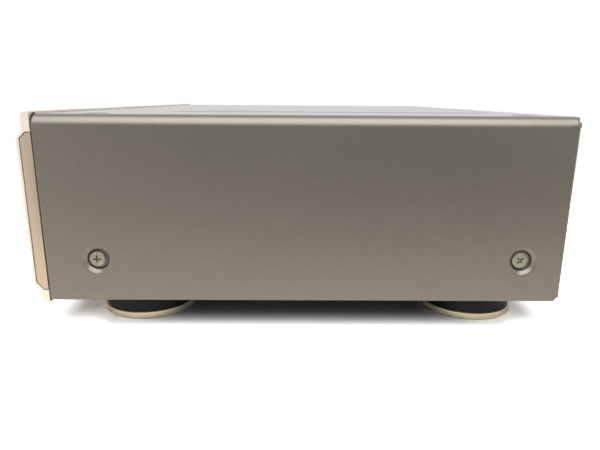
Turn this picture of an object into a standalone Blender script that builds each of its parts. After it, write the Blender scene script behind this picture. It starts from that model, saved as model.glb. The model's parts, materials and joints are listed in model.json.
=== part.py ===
"""A full-width minidisc deck: a folded steel cover, an extruded front panel with its controls,
a slot-loading mechanism, two boards, a mains transformer, rear terminals and four ringed feet.

Metres, +Z up. The front faces -Y and +X is to the right seen from the front. The origin is on
the surface that the feet stand on, under the middle of the deck.
"""

import math

import bmesh
import bpy
from mathutils import Matrix, Vector

MM = 0.001
GAP = 0.3 * MM  # between pieces that touch
PLAY = 0.6 * MM  # round pieces that slide or swing past each other
OVERRUN = 1 * MM  # how far a cutter passes the surface that it cuts
WELD = 0.01 * MM  # points closer than this are one point

# Cover
COVER_WIDTH = 430 * MM
COVER_LENGTH = 301 * MM
COVER_HEIGHT = 108 * MM
COVER_SHEET = 1 * MM
COVER_BEND = 4.5 * MM
COVER_LIP = 6 * MM
REAR_FLANGE = 10 * MM
REAR_FLANGE_SET_IN = 0.2 * MM
REAR_FLANGE_FOOT = 2.5 * MM
PLATEAU_SIDE_INSET = 60 * MM
PLATEAU_FRONT_INSET = 60 * MM
PLATEAU_REAR_INSET = 24 * MM
PLATEAU_RISE = 0.8 * MM
PLATEAU_SLOPE = 1.5 * MM

# Cover screws, in pressed dimples
SCREW_FRONT_INSET = 28.9 * MM
SCREW_REAR_INSET = 23.2 * MM
SCREW_UP = 25.4 * MM
TOP_SCREW_INSET = 15 * MM
DIMPLE_RADIUS = 8.25 * MM
DIMPLE_FLOOR_RADIUS = 6.25 * MM
DIMPLE_DEPTH = 2.7 * MM
SCREW_HEAD_RADIUS = 4.65 * MM
SCREW_HEAD_HEIGHT = 2.4 * MM
SCREW_EDGE = 0.4 * MM
SCREW_SHANK_RADIUS = 2 * MM
SCREW_SHANK_LENGTH = 8 * MM
CROSS_WIDTH = 1.1 * MM
CROSS_SPAN = 5.2 * MM
CROSS_DEPTH = 1.3 * MM
REAR_CROSS_TURN = math.radians(40)

# Bottom chassis
CHASSIS_SHEET = 1 * MM
CHASSIS_WALL_HEIGHT = 36 * MM
CHASSIS_SET_BACK = 1 * MM
VENT_COUNT = 8
VENT_WIDTH = 3 * MM
VENT_LENGTH = 40 * MM
VENT_PITCH = 9 * MM
VENT_FRONT = 125 * MM

# Rear panel
REAR_SHEET = 1 * MM
REAR_FOOT = 12 * MM
REAR_FOOT_INSET = 16 * MM

# Feet, each with a metal ring round its lower edge
FOOT_HEIGHT = 16 * MM
FOOT_RADIUS = 28 * MM
FOOT_EDGE = 0.8 * MM
FOOT_SIDE_INSET = 38 * MM
FOOT_FRONT_INSET = 48.4 * MM
FOOT_REAR_INSET = 43.8 * MM
RING_RADIUS = 29 * MM
RING_WALL = 2.4 * MM
RING_HEIGHT = 4.2 * MM
RING_LIFT = 0.4 * MM
RING_EDGE = 0.5 * MM
SPIGOT_RADIUS = 5 * MM
SPIGOT_HEIGHT = 3 * MM
FOOT_WELL_RADIUS = 9 * MM
FOOT_WELL_DEPTH = 7 * MM

# Front panel, an extrusion: heights from the cover's lower edge, depths from its front edge
PANEL_JOINT = 0.6 * MM
PANEL_TOP = 108.6 * MM
PANEL_DROP = 1.2 * MM
BULGE_PROUD = 9.2 * MM
TOP_RAIL_PROUD = 6.4 * MM
BOTTOM_RAIL_PROUD = 5.4 * MM
TOP_RAIL_FOOT = 99.2 * MM
BULGE_TOP = 95.2 * MM
BULGE_BOTTOM = 10.5 * MM
BOTTOM_RAIL_TOP = 6 * MM
TOP_RAIL_ROUND = 2.6 * MM
BOTTOM_RAIL_ROUND = 1.2 * MM
ROUND_STEPS = 4
PANEL_WALL = 1.4 * MM
HOLLOW_TOP = 98.8 * MM
HOLLOW_TOP_LEDGE = 4.1 * MM
HOLLOW_SHOULDER = 95.1 * MM
HOLLOW_HIP = 11.6 * MM
HOLLOW_BOTTOM_LEDGE = 3.7 * MM
HOLLOW_BOTTOM = 6.9 * MM
END_CAP_DEPTH = 3 * MM
END_CAP_BACK = 1.1 * MM

# Front subframe and control board
SUBFRAME_FACE = 3.6 * MM
SUBFRAME_SHEET = 2 * MM
EAR_LENGTH = 14 * MM
EAR_WIDTH = 3 * MM
EAR_BOTTOM = 12 * MM
EAR_TOP = 36 * MM
BOARD_FACE = 3 * MM
BOARD_SHEET = 1.6 * MM
BOARD_SIDE_INSET = 11 * MM
BOARD_BOTTOM = 9 * MM
BOARD_TOP = 96 * MM
PILLAR_RADIUS = 2.5 * MM
PILLAR_INSET = 4.5 * MM
TACT_SIZE = 6 * MM

# Buttons
KEY_WIDTH = 22 * MM
KEY_HEIGHT = 8 * MM
KEY_PITCH = 25 * MM
KEY_ROW_UP = 18 * MM
KEY_ROW = ("record_button", "rewind_button", "stop_button", "play_button", "pause_button",
           "forward_button")
KEY_PROUD = 1.6 * MM
KEY_TRAVEL = 1.2 * MM
KEY_FLANGE = 1.4 * MM
KEY_FLANGE_SHEET = 1 * MM
KEY_EDGE = 0.5 * MM
STEM_SIZE = 4 * MM
STEM_OUT = 0.5 * MM
POWER_INSET = 35 * MM
POWER_UP = 80 * MM
POWER_WIDTH = 18 * MM
POWER_HEIGHT = 9 * MM
EJECT_OUT = 76 * MM  # right of the slot's middle
EJECT_WIDTH = 20 * MM

# Display
DISPLAY_X = -10 * MM
DISPLAY_UP = 46 * MM
WINDOW_WIDTH = 150 * MM
WINDOW_HEIGHT = 32 * MM
WINDOW_FLANGE = 2 * MM
WINDOW_SHEET = 2.7 * MM
TUBE_WIDTH = 140 * MM
TUBE_HEIGHT = 26 * MM
TUBE_DEPTH = 6.9 * MM

# Disc slot, its bezel and its door
SLOT_X = -10 * MM
SLOT_UP = 80 * MM
SLOT_WIDTH = 76 * MM
SLOT_HEIGHT = 7.2 * MM
BEZEL_WIDTH = 96 * MM
BEZEL_HEIGHT = 18 * MM
BEZEL_PROUD = 1 * MM
BEZEL_EDGE = 0.5 * MM
TUNNEL_SIDE = 6 * MM
TUNNEL_FLOOR = 1.6 * MM
TUNNEL_ROOF = 1.2 * MM
TUNNEL_RAISE = 2.6 * MM
TUNNEL_END = 5 * MM
DOOR_SET_BACK = 5 * MM
DOOR_SHEET = 1.2 * MM
DOOR_PIN_RADIUS = 0.9 * MM
DOOR_PIN_UP = 0.6 * MM
DOOR_PIN_LENGTH = 1.5 * MM

# Knobs, jack and timer switch
JOG_INSET = 50 * MM
JOG_UP = 60 * MM
JOG_RADIUS = 23 * MM
JOG_PROUD = 14 * MM
JOG_LIFT = 1.4 * MM
JOG_TRAVEL = 0.8 * MM
JOG_EDGE = 1.2 * MM
JOG_DISH_RADIUS = 6.5 * MM
JOG_DISH_IN = 11 * MM
JOG_DISH_DEPTH = 1.2 * MM
SHAFT_RADIUS = 3 * MM
SHAFT_IN_SHARE = 0.6
SHAFT_SEAT = 2.6 * MM
ENCODER_SIZE = 14 * MM
ENCODER_HEIGHT = 4.2 * MM
RECORD_LEVEL_OUT = 38 * MM  # right of the display window's edge
RECORD_LEVEL_UP = 34 * MM
RECORD_LEVEL_RADIUS = 13 * MM
RECORD_LEVEL_PROUD = 12 * MM
PHONES_LEVEL_INSET = 57 * MM
PHONES_UP = 24 * MM
PHONES_LEVEL_RADIUS = 7.5 * MM
PHONES_LEVEL_PROUD = 9 * MM
KNOB_LIFT = 0.6 * MM
KNOB_EDGE = 0.8 * MM
KNOB_MARK_WIDTH = 1 * MM
KNOB_MARK_DEPTH = 0.6 * MM
JACK_INSET = 27 * MM
JACK_BORE_RADIUS = 3.2 * MM
JACK_BORE_DEPTH = 22 * MM
JACK_BARREL_RADIUS = 4.6 * MM
JACK_NUT_RADIUS = 6.2 * MM
JACK_NUT_PROUD = 2 * MM
JACK_BODY_SIZE = 12 * MM
JACK_BODY_DEPTH = 24 * MM
TIMER_PITCH = 26 * MM
TIMER_SLOT_HEIGHT = 4 * MM
TIMER_LEVER_WIDTH = 3.4 * MM
TIMER_PROUD = 2 * MM
TIMER_TRAVEL = 3 * MM
TIMER_SIDE_ROOM = 0.8 * MM
TIMER_FLANGE_WIDTH = 18 * MM
TIMER_FLANGE_HEIGHT = 7 * MM

# Disc mechanism: heights from the slot's middle, sideways from it, depths from the cover
CARTRIDGE_WIDTH = 72 * MM
CARTRIDGE_HEIGHT = 5 * MM
CARTRIDGE_PLAY = 0.4 * MM
HOLDER_SHEET = 0.8 * MM
HOLDER_FRONT = 6.5 * MM
HOLDER_LENGTH = 70 * MM
HOLDER_LEDGE = 8 * MM
HOLDER_DROP = 6 * MM
HOLDER_PIN_RADIUS = 1.5 * MM
HOLDER_PIN_OUT = 0.4 * MM
HOLDER_PIN_FRONT = 19 * MM
HOLDER_PIN_REAR = 56 * MM
HEAD_SLOT_WIDTH = 12 * MM
HEAD_SLOT_START = 5 * MM
SPINDLE_INSET = 36 * MM
MECH_FRONT = 8 * MM
MECH_LENGTH = 80 * MM
MECH_DOWN = 10.4 * MM
MECH_SHEET = 1.2 * MM
MECH_WALL_TOP = 5 * MM
MECH_LEFT = 46 * MM
MECH_RIGHT = 74 * MM
MECH_NOTCH_HALF = 7 * MM
SLED_WELL_LEFT = 12 * MM
SLED_WELL_HALF = 27 * MM
PILLAR_SIZE = 7 * MM
PILLAR_LEFT = 34 * MM
PILLAR_RIGHT = 66 * MM
PILLAR_END_INSET = 4 * MM
BRACKET_SHEET = 1.2 * MM

# Turntable and its motor
TURNTABLE_RADIUS = 9 * MM
TURNTABLE_LIFT = 0.4 * MM
TURNTABLE_SHEET = 1.2 * MM
HUB_RADIUS = 4 * MM
HUB_HEIGHT = 1.1 * MM
SPINDLE_RADIUS = 1 * MM
SPINDLE_MOTOR_RADIUS = 11 * MM
SPINDLE_MOTOR_HEIGHT = 9 * MM

# Pickup sled, its rods and the head arm that it carries
ROD_RADIUS = 1.5 * MM
ROD_SPREAD = 22 * MM
ROD_DOWN = 3.2 * MM
ROD_POST = 4 * MM
ROD_POST_LENGTH = 7 * MM
ROD_POST_DROP = 6.4 * MM
ROD_IN_POST = 3 * MM
SLED_LEFT = 15 * MM
SLED_LENGTH = 33 * MM
SLED_HALF = 25 * MM
SLED_TOP = 0.6 * MM
SLED_HEIGHT = 5.5 * MM
SLED_TRAVEL = 18 * MM
SLED_END_ROOM = 4 * MM
LENS_X = 23 * MM
LENS_RADIUS = 3.5 * MM
LENS_HEIGHT = 1 * MM
LUG_X = 44 * MM
LUG_SIZE = 4 * MM
LUG_SHEET = 1.5 * MM
ARM_PIN_RADIUS = 0.8 * MM
ARM_BARREL_RADIUS = 1.6 * MM
ARM_HALF = 5 * MM
ARM_SHEET = 1.2 * MM
ARM_UP = 4.9 * MM
ARM_REACH = 25 * MM
HEAD_SIZE = 6 * MM
HEAD_HEIGHT = 0.8 * MM
SLED_GEAR_X = 38 * MM
SLED_GEAR_RADIUS = 6 * MM
GEAR_SHEET = 2 * MM
GEAR_POST_RADIUS = 1.5 * MM
TOOTH_PITCH = 2.5 * MM
TOOTH_DEPTH = 0.8 * MM
WORM_RADIUS = 2 * MM
WORM_LENGTH = 16 * MM
MOTOR_RADIUS = 5.5 * MM
MOTOR_LENGTH = 20 * MM
MOTOR_WALL = 1.2 * MM
MOTOR_WALL_HALF = 5 * MM

# Loading cam, its gear and motor
CAM_SHEET = 1.2 * MM
CAM_TOP = 4 * MM
CAM_EDGE = 3.2 * MM
CAM_TRAVEL = 14 * MM
RACK_FRONT = 18 * MM
RACK_LENGTH = 42 * MM
RACK_DEPTH = 3.5 * MM
RACK_HEIGHT = 2.1 * MM
LOADING_GEAR_RADIUS = 8 * MM
LOADING_GEAR_BACK = 45 * MM
TAB_FRONT = 30 * MM
TAB_BACK = 62 * MM

# Main board and transformer
MAIN_LEFT_INSET = 135 * MM
MAIN_RIGHT_INSET = 19 * MM
MAIN_FRONT = 108 * MM
MAIN_REAR_INSET = 19 * MM
MAIN_LIFT = 8 * MM
MAIN_SHEET = 1.6 * MM
STANDOFF_RADIUS = 3.5 * MM
STANDOFF_INSET = 8 * MM
CAN_RADIUS = 9 * MM
CAN_HEIGHT = 26 * MM
CAN_COUNT = 4
CAN_PITCH = 24 * MM
CHIP_SIZE = 22 * MM
CHIP_HEIGHT = 3 * MM
CHIP_COUNT = 3
CHIP_PITCH = 52 * MM
SINK_LENGTH = 60 * MM
SINK_DEPTH = 16 * MM
SINK_HEIGHT = 32 * MM
SINK_FINS = 5
SINK_FIN = 2 * MM
SINK_BASE = 4 * MM
TRANSFORMER_INSET = 70 * MM
TRANSFORMER_REAR_INSET = 96 * MM
CORE_WIDTH = 72 * MM
CORE_DEPTH = 34 * MM
CORE_HEIGHT = 60 * MM
CORE_LEG = 12 * MM
CORE_FOOT_WIDTH = 92 * MM
CORE_FOOT_HEIGHT = 2 * MM
COIL_PROUD = 13 * MM

# Rear terminals: sideways from the cover's nearer side, heights from its lower edge
TERMINAL_FLANGE = 1.5 * MM
TERMINAL_EDGE = 2.5 * MM
INLET_INSET = 43 * MM
INLET_UP = 26 * MM
INLET_WIDTH = 22 * MM
INLET_HEIGHT = 13 * MM
INLET_DEPTH = 17 * MM
INLET_MOUTH_WIDTH = 15.5 * MM
INLET_MOUTH_HEIGHT = 8.5 * MM
INLET_MOUTH_DEPTH = 13 * MM
INLET_PIN_RADIUS = 1.2 * MM
INLET_PIN_PITCH = 8.6 * MM
INLET_PIN_LENGTH = 10 * MM
LINE_INSET = 151 * MM
LINE_UP = 38 * MM
LINE_PITCH_X = 18 * MM
LINE_PITCH_Z = 16 * MM
LINE_BLOCK_EDGE = 10 * MM
LINE_BLOCK_DEPTH = 12 * MM
LINE_COLLAR_RADIUS = 5.6 * MM
LINE_COLLAR_PROUD = 1.5 * MM
LINE_BARREL_RADIUS = 4.2 * MM
LINE_BORE_RADIUS = 1.7 * MM
LINE_BORE_DEPTH = 8 * MM
JACK_PROUD = 7.5 * MM
OPTICAL_INSET = 83 * MM
OPTICAL_UP = 34 * MM
OPTICAL_PITCH = 18 * MM
OPTICAL_WIDTH = 36 * MM
OPTICAL_HEIGHT = 16 * MM
OPTICAL_DEPTH = 16 * MM
PORT_SIZE = 9 * MM
PORT_RAISE = 1.4 * MM
PORT_DEPTH = 13 * MM
SHUTTER_SET_IN = 1.2 * MM
SHUTTER_PIN_UP = 0.5 * MM
SHUTTER_SHEET = 0.9 * MM
SHUTTER_PIN_RADIUS = 0.7 * MM
SHUTTER_PIN_LENGTH = 1 * MM

# Worked out from the sizes above
HALF_WIDTH = COVER_WIDTH / 2
POWER_X = POWER_INSET - HALF_WIDTH
EJECT_X = SLOT_X + EJECT_OUT
JOG_X = HALF_WIDTH - JOG_INSET
RECORD_LEVEL_X = DISPLAY_X + WINDOW_WIDTH / 2 + RECORD_LEVEL_OUT
PHONES_LEVEL_X = PHONES_LEVEL_INSET - HALF_WIDTH
JACK_X = JACK_INSET - HALF_WIDTH
TIMER_X = PHONES_LEVEL_X + TIMER_PITCH
MAIN_LEFT = MAIN_LEFT_INSET - HALF_WIDTH
MAIN_RIGHT = HALF_WIDTH - MAIN_RIGHT_INSET
MAIN_BACK = COVER_LENGTH - MAIN_REAR_INSET
TRANSFORMER_X = TRANSFORMER_INSET - HALF_WIDTH
TRANSFORMER_BACK = COVER_LENGTH - TRANSFORMER_REAR_INSET
INLET_X = INLET_INSET - HALF_WIDTH
LINE_X = HALF_WIDTH - LINE_INSET
OPTICAL_X = HALF_WIDTH - OPTICAL_INSET
OVERALL_DEPTH = JOG_PROUD + BULGE_PROUD + COVER_LENGTH + JACK_PROUD
COVER_FRONT_Y = JOG_PROUD + BULGE_PROUD - OVERALL_DEPTH / 2
CHASSIS_HALF = HALF_WIDTH - DIMPLE_DEPTH - COVER_SHEET - GAP
CHASSIS_FLOOR = COVER_SHEET + GAP + CHASSIS_SHEET
REAR_FACE = COVER_LENGTH - REAR_FLANGE_SET_IN - COVER_SHEET - GAP
REAR_BACK = REAR_FACE - REAR_SHEET
HOLLOW_FRONT = BULGE_PROUD - PANEL_WALL
TIMER_SLOT_WIDTH = TIMER_LEVER_WIDTH + 2 * (TIMER_TRAVEL + TIMER_SIDE_ROOM)
SUBFRAME_BACK = SUBFRAME_FACE - SUBFRAME_SHEET
MECH_PLATE = SLOT_UP - MECH_DOWN
MECH_UNDER = MECH_PLATE - MECH_SHEET
MECH_BACK = MECH_FRONT + MECH_LENGTH
HOLDER_IN = CARTRIDGE_WIDTH / 2 + CARTRIDGE_PLAY
HOLDER_OUT = HOLDER_IN + HOLDER_SHEET
HOLDER_IN_UP = CARTRIDGE_HEIGHT / 2 + CARTRIDGE_PLAY
HOLDER_OUT_UP = HOLDER_IN_UP + HOLDER_SHEET
HOLDER_PINS = (HOLDER_FRONT + HOLDER_PIN_FRONT, HOLDER_FRONT + HOLDER_PIN_REAR)
WALL_IN = HOLDER_OUT + PLAY
WALL_OUT = WALL_IN + MECH_SHEET
CAM_IN = WALL_OUT + GAP
CAM_OUT = CAM_IN + CAM_SHEET
CAM_PIN_ROOM = HOLDER_PIN_RADIUS + GAP + CAM_EDGE
CAM_FRONT = HOLDER_PINS[0] - CAM_TRAVEL - CAM_PIN_ROOM
CAM_LENGTH = HOLDER_PINS[1] + CAM_PIN_ROOM - CAM_FRONT
SPINDLE_BACK = HOLDER_FRONT + SPINDLE_INSET
LOADING_GEAR_X = CAM_OUT + RACK_DEPTH + GAP + LOADING_GEAR_RADIUS
LOADING_MOTOR_X = LOADING_GEAR_X + LOADING_GEAR_RADIUS + GAP + WORM_RADIUS
LOADING_GEAR_UP = MECH_PLATE + GAP + GEAR_SHEET / 2
SLED_GEAR_BACK = SPINDLE_BACK + SLED_HALF + TOOTH_DEPTH + GAP + SLED_GEAR_RADIUS
SLED_MOTOR_BACK = SLED_GEAR_BACK + SLED_GEAR_RADIUS + GAP + WORM_RADIUS
SLED_GEAR_UP = MECH_UNDER - GAP - WORM_RADIUS
SLED_WALL_X = SLED_GEAR_X - SLED_GEAR_RADIUS - PLAY - MOTOR_WALL
SLED_ROOF = MECH_PLATE - SLED_TOP
ARM_PIN_UP = SLED_ROOF + LUG_SIZE / 2
ROD_UP = MECH_PLATE - ROD_DOWN
SLED_WELL_RIGHT = SLED_LEFT + SLED_LENGTH + SLED_TRAVEL + SLED_END_ROOM
KEY_SPAN = KEY_PITCH * (len(KEY_ROW) - 1)
DOOR_AXIS = (BULGE_PROUD + BEZEL_PROUD - DOOR_SET_BACK - DOOR_SHEET / 2,
             SLOT_UP + SLOT_HEIGHT / 2 + DOOR_PIN_UP)
PORT_PLACES = {"optical_shutter_in": OPTICAL_X - OPTICAL_PITCH / 2,
               "optical_shutter_out": OPTICAL_X + OPTICAL_PITCH / 2}

# Finishes: colour, roughness and metallic value
GREY_PAINT = ((0.20, 0.18, 0.16), 0.42, 0.6)
CHAMPAGNE = ((0.75, 0.66, 0.52), 0.32, 0.9)
TAUPE = ((0.36, 0.29, 0.22), 0.5, 0.2)
RING_GOLD = ((0.55, 0.45, 0.28), 0.25, 1.0)
BLACK_PLASTIC = ((0.02, 0.02, 0.025), 0.45, 0.0)
SMOKED_GLASS = ((0.015, 0.015, 0.018), 0.08, 0.0)
DARK_GLASS = ((0.05, 0.08, 0.08), 0.15, 0.0)
ZINC = ((0.42, 0.40, 0.32), 0.35, 0.9)
STEEL = ((0.55, 0.56, 0.57), 0.35, 1.0)
BRIGHT_STEEL = ((0.75, 0.75, 0.76), 0.15, 1.0)
BOARD_BROWN = ((0.20, 0.12, 0.05), 0.6, 0.0)
BOARD_GREEN = ((0.03, 0.13, 0.06), 0.5, 0.0)
WHITE_RESIN = ((0.75, 0.74, 0.70), 0.5, 0.0)
CORE_IRON = ((0.08, 0.07, 0.07), 0.5, 0.7)
COIL_TAPE = ((0.55, 0.36, 0.06), 0.5, 0.0)


def behind(depth):
    """The y of what lies this far behind the cover's front edge."""
    return COVER_FRONT_Y + depth


def proud(depth):
    """The y of what stands this far before the cover's front edge."""
    return COVER_FRONT_Y - depth


def above(height):
    """The z of what lies this far above the cover's lower edge."""
    return FOOT_HEIGHT + height


def about(middle, size):
    """The two ends of a size laid about a middle."""
    return middle - size / 2, middle + size / 2


def arc(centre, radius, start, end):
    """Points along a round corner, from one angle in degrees to another."""
    steps = [math.radians(start + (end - start) * i / ROUND_STEPS) for i in range(ROUND_STEPS + 1)]
    return [(centre[0] + radius * math.cos(a), centre[1] + radius * math.sin(a)) for a in steps]


def empty_scene():
    """Takes the objects of the open file out of the scene."""
    for thing in list(bpy.data.objects):
        bpy.data.objects.remove(thing, do_unlink=True)


def new_collection(name):
    """A collection of the scene."""
    collection = bpy.data.collections.new(name)
    bpy.context.scene.collection.children.link(collection)
    return collection


def paint(piece, finish):
    """Gives a piece its own material."""
    colour, roughness, metallic = finish
    material = bpy.data.materials.new(piece.name + "_finish")
    material.use_nodes = True
    shader = material.node_tree.nodes["Principled BSDF"]
    shader.inputs["Base Color"].default_value = (*colour, 1)
    shader.inputs["Roughness"].default_value = roughness
    shader.inputs["Metallic"].default_value = metallic
    piece.data.materials.append(material)


def place(name, data, finish):
    """An object with its data: a part where it has a finish, otherwise a cutter."""
    piece = bpy.data.objects.new(name, data)
    if finish:
        PARTS.objects.link(piece)
        paint(piece, finish)
    else:
        CUTTERS.objects.link(piece)
        piece.hide_render = True
        piece.display_type = 'WIRE'
    return piece


def add(name, bm, finish):
    """The object of a mesh that is ready."""
    mesh = bpy.data.meshes.new(name)
    bm.to_mesh(mesh)
    bm.free()
    return place(name, mesh, finish)


def box(x, y, z, name="cutter", finish=None, slope=0):
    """A box between pairs of x, y and z. Its upper face is smaller by the slope on each side."""
    bm = bmesh.new()
    bmesh.ops.create_cube(bm, size=1)
    size = Vector((max(x) - min(x), max(y) - min(y), max(z) - min(z)))
    upper = [vert for vert in bm.verts if vert.co.z > 0]
    taper = Vector((1 - 2 * slope / size.x, 1 - 2 * slope / size.y, 1))
    bmesh.ops.scale(bm, vec=taper, verts=upper)
    bmesh.ops.scale(bm, vec=size, verts=bm.verts)
    bmesh.ops.translate(bm, vec=Vector((sum(x), sum(y), sum(z))) / 2, verts=bm.verts)
    return add(name, bm, finish)


def rod(axis, across, start, end, radius, end_radius=None, name="cutter", finish=None, sides=16):
    """A cylinder or cone along an axis; across holds its other two coordinates in order."""
    end_radius = radius if end_radius is None else end_radius
    if end < start:
        start, end, radius, end_radius = end, start, end_radius, radius
    turn = {"x": Matrix.Rotation(math.pi / 2, 4, 'Y'), "y": Matrix.Rotation(-math.pi / 2, 4, 'X'),
            "z": Matrix.Identity(4)}[axis]
    middle = list(across)
    middle.insert("xyz".index(axis), (start + end) / 2)
    bm = bmesh.new()
    bmesh.ops.create_cone(bm, cap_ends=True, segments=sides, radius1=radius, radius2=end_radius,
                          depth=end - start, matrix=Matrix.Translation(middle) @ turn)
    piece = add(name, bm, finish)
    smooth(piece)
    return piece


def smooth(piece):
    """Shades a round piece smooth between its sharp edges."""
    piece.data.shade_smooth()
    piece.data.set_sharp_from_angle(angle=math.radians(40))


def turned(name, outline, location, facing, finish, closed=False, sides=24):
    """A turned piece: (radius, height) pairs from its top to its bottom, facing up, front or a side."""
    bm = bmesh.new()
    verts = [bm.verts.new((radius, 0, height)) for radius, height in outline]
    for first, second in zip(verts, verts[1:]):
        bm.edges.new((first, second))
    if closed:
        bm.edges.new((verts[-1], verts[0]))
    piece = add(name, bm, finish)
    spin = piece.modifiers.new("turn", 'SCREW')
    spin.axis = 'Z'
    spin.steps = spin.render_steps = sides
    spin.use_merge_vertices = True
    spin.merge_threshold = WELD
    piece.location = location
    quarter = math.pi / 2
    piece.rotation_euler = {"up": (0, 0, 0), "front": (quarter, 0, 0), "back": (-quarter, 0, 0),
                            "right": (0, quarter, 0), "left": (0, -quarter, 0)}[facing]
    return piece


def plate(outline, span, name="cutter", finish=None, axis="x"):
    """An outline extruded across a span: of (y, z) points along x, or of (x, y) points along z."""
    curve = bpy.data.curves.new(name, 'CURVE')
    curve.dimensions = '2D'
    curve.fill_mode = 'BOTH'
    curve.extrude = (span[1] - span[0]) / 2
    spline = curve.splines.new('POLY')
    spline.points.add(len(outline) - 1)
    for point, (first, second) in zip(spline.points, outline):
        point.co = (first, second, 0, 1)
    spline.use_cyclic_u = True
    drawn = place(name + "_outline", curve, None)
    quarter = math.pi / 2
    drawn.rotation_euler = (quarter, 0, quarter) if axis == "x" else (0, 0, 0)
    drawn.location["xyz".index(axis)] = sum(span) / 2
    bpy.context.view_layer.update()
    shape = drawn.evaluated_get(bpy.context.evaluated_depsgraph_get())
    mesh = bpy.data.meshes.new_from_object(shape)
    bm = bmesh.new()
    bm.from_mesh(mesh)
    bmesh.ops.remove_doubles(bm, verts=bm.verts, dist=WELD)
    bmesh.ops.transform(bm, matrix=drawn.matrix_world, verts=bm.verts)
    bmesh.ops.recalc_face_normals(bm, faces=bm.faces)
    bpy.data.objects.remove(drawn)
    bpy.data.meshes.remove(mesh)
    return add(name, bm, finish)


def folded(name, outline, span, thickness, finish):
    """A sheet folded along an outline of (x, z) points, between two y, with its wall inside."""
    bm = bmesh.new()
    verts = [bm.verts.new((x, span[0], z)) for x, z in outline]
    edges = [bm.edges.new(pair) for pair in zip(verts, verts[1:])]
    grown = bmesh.ops.extrude_edge_only(bm, edges=edges)["geom"]
    moved = [item for item in grown if isinstance(item, bmesh.types.BMVert)]
    bmesh.ops.translate(bm, vec=(0, span[1] - span[0], 0), verts=moved)
    piece = add(name, bm, finish)
    wall = piece.modifiers.new("wall", 'SOLIDIFY')
    wall.thickness = thickness
    wall.offset = 1
    wall.use_even_offset = True
    return piece


def bevel(piece, width):
    """Rounds the edges of a piece."""
    edge = piece.modifiers.new("edges", 'BEVEL')
    edge.width = width
    edge.segments = 2
    return piece


def combine(piece, others, operation):
    """Boolean steps with other solids, in order."""
    for other in others:
        step = piece.modifiers.new(operation.lower(), 'BOOLEAN')
        step.operation = operation
        step.object = other
    return piece


def join(piece, *others):
    """Makes other solids one with the piece."""
    return combine(piece, others, 'UNION')


def cut(piece, *others):
    """Takes other solids out of the piece."""
    return combine(piece, others, 'DIFFERENCE')


def set_origin(piece, x, y, z):
    """Puts a piece's origin on its joint's axis and leaves its shape where it is."""
    shift = Vector((x, y, z)) - piece.location
    piece.data.transform(Matrix.Translation(-shift))
    piece.location += shift


def dimple(axis, across, surface, inward):
    """The pressed boss of a cover screw, the well in it and its hole, from the surface inwards."""
    slope = (DIMPLE_RADIUS - DIMPLE_FLOOR_RADIUS) / DIMPLE_DEPTH
    floor = surface + inward * DIMPLE_DEPTH
    back = floor + inward * COVER_SHEET
    outside = surface - inward * OVERRUN
    boss = rod(axis, across, surface + inward * COVER_SHEET / 2, back,
               DIMPLE_RADIUS + COVER_SHEET, DIMPLE_FLOOR_RADIUS + COVER_SHEET)
    well = rod(axis, across, outside, floor, DIMPLE_RADIUS + slope * OVERRUN, DIMPLE_FLOOR_RADIUS)
    hole = rod(axis, across, outside, back + inward * OVERRUN, SCREW_SHANK_RADIUS + GAP)
    return boss, well, hole


def screw_depths():
    """How far behind the cover's front edge its front and rear screws lie."""
    return {"front": SCREW_FRONT_INSET, "rear": COVER_LENGTH - SCREW_REAR_INSET}


def top_cover():
    """The cover: sheet steel folded down both sides and in along the bottom and the rear."""
    inner = HALF_WIDTH - COVER_BEND
    outline = [(COVER_LIP - HALF_WIDTH, above(0)), (-HALF_WIDTH, above(0))]
    outline += arc((-inner, above(COVER_HEIGHT - COVER_BEND)), COVER_BEND, 180, 90)
    outline += arc((inner, above(COVER_HEIGHT - COVER_BEND)), COVER_BEND, 90, 0)
    outline += [(HALF_WIDTH, above(0)), (HALF_WIDTH - COVER_LIP, above(0))]
    cover = folded("top_cover", outline, (behind(0), behind(COVER_LENGTH)), COVER_SHEET, GREY_PAINT)

    back = COVER_LENGTH - REAR_FLANGE_SET_IN
    flange_y = (behind(back - COVER_SHEET), behind(back))
    flange_top = above(COVER_HEIGHT - COVER_SHEET / 2)
    join(cover, box((-inner, inner), flange_y, (above(COVER_HEIGHT - REAR_FLANGE), flange_top)))
    for side in (-1, 1):
        edges = (side * (HALF_WIDTH - REAR_FLANGE), side * (HALF_WIDTH - COVER_SHEET / 2))
        heights = (above(REAR_FLANGE_FOOT), above(COVER_HEIGHT - COVER_BEND))
        join(cover, box(edges, flange_y, heights))

    plateau_x = HALF_WIDTH - PLATEAU_SIDE_INSET
    plateau_y = (behind(PLATEAU_FRONT_INSET), behind(COVER_LENGTH - PLATEAU_REAR_INSET))
    raised = (above(COVER_HEIGHT - COVER_SHEET / 2), above(COVER_HEIGHT + PLATEAU_RISE))
    pressed = (raised[0] - COVER_SHEET, raised[1] - COVER_SHEET)
    join(cover, box((-plateau_x, plateau_x), plateau_y, raised, slope=PLATEAU_SLOPE))
    inset = (plateau_y[0] + COVER_SHEET, plateau_y[1] - COVER_SHEET)
    cut(cover, box((COVER_SHEET - plateau_x, plateau_x - COVER_SHEET), inset, pressed,
                   slope=PLATEAU_SLOPE))

    for side in (-1, 1):
        for depth in screw_depths().values():
            sides = dimple("x", (behind(depth), above(SCREW_UP)), side * HALF_WIDTH, -side)
            tops = dimple("z", (side * (HALF_WIDTH - TOP_SCREW_INSET), behind(depth)),
                          above(COVER_HEIGHT), -1)
            for boss, well, hole in (sides, tops):
                cut(join(cover, boss), well, hole)


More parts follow.
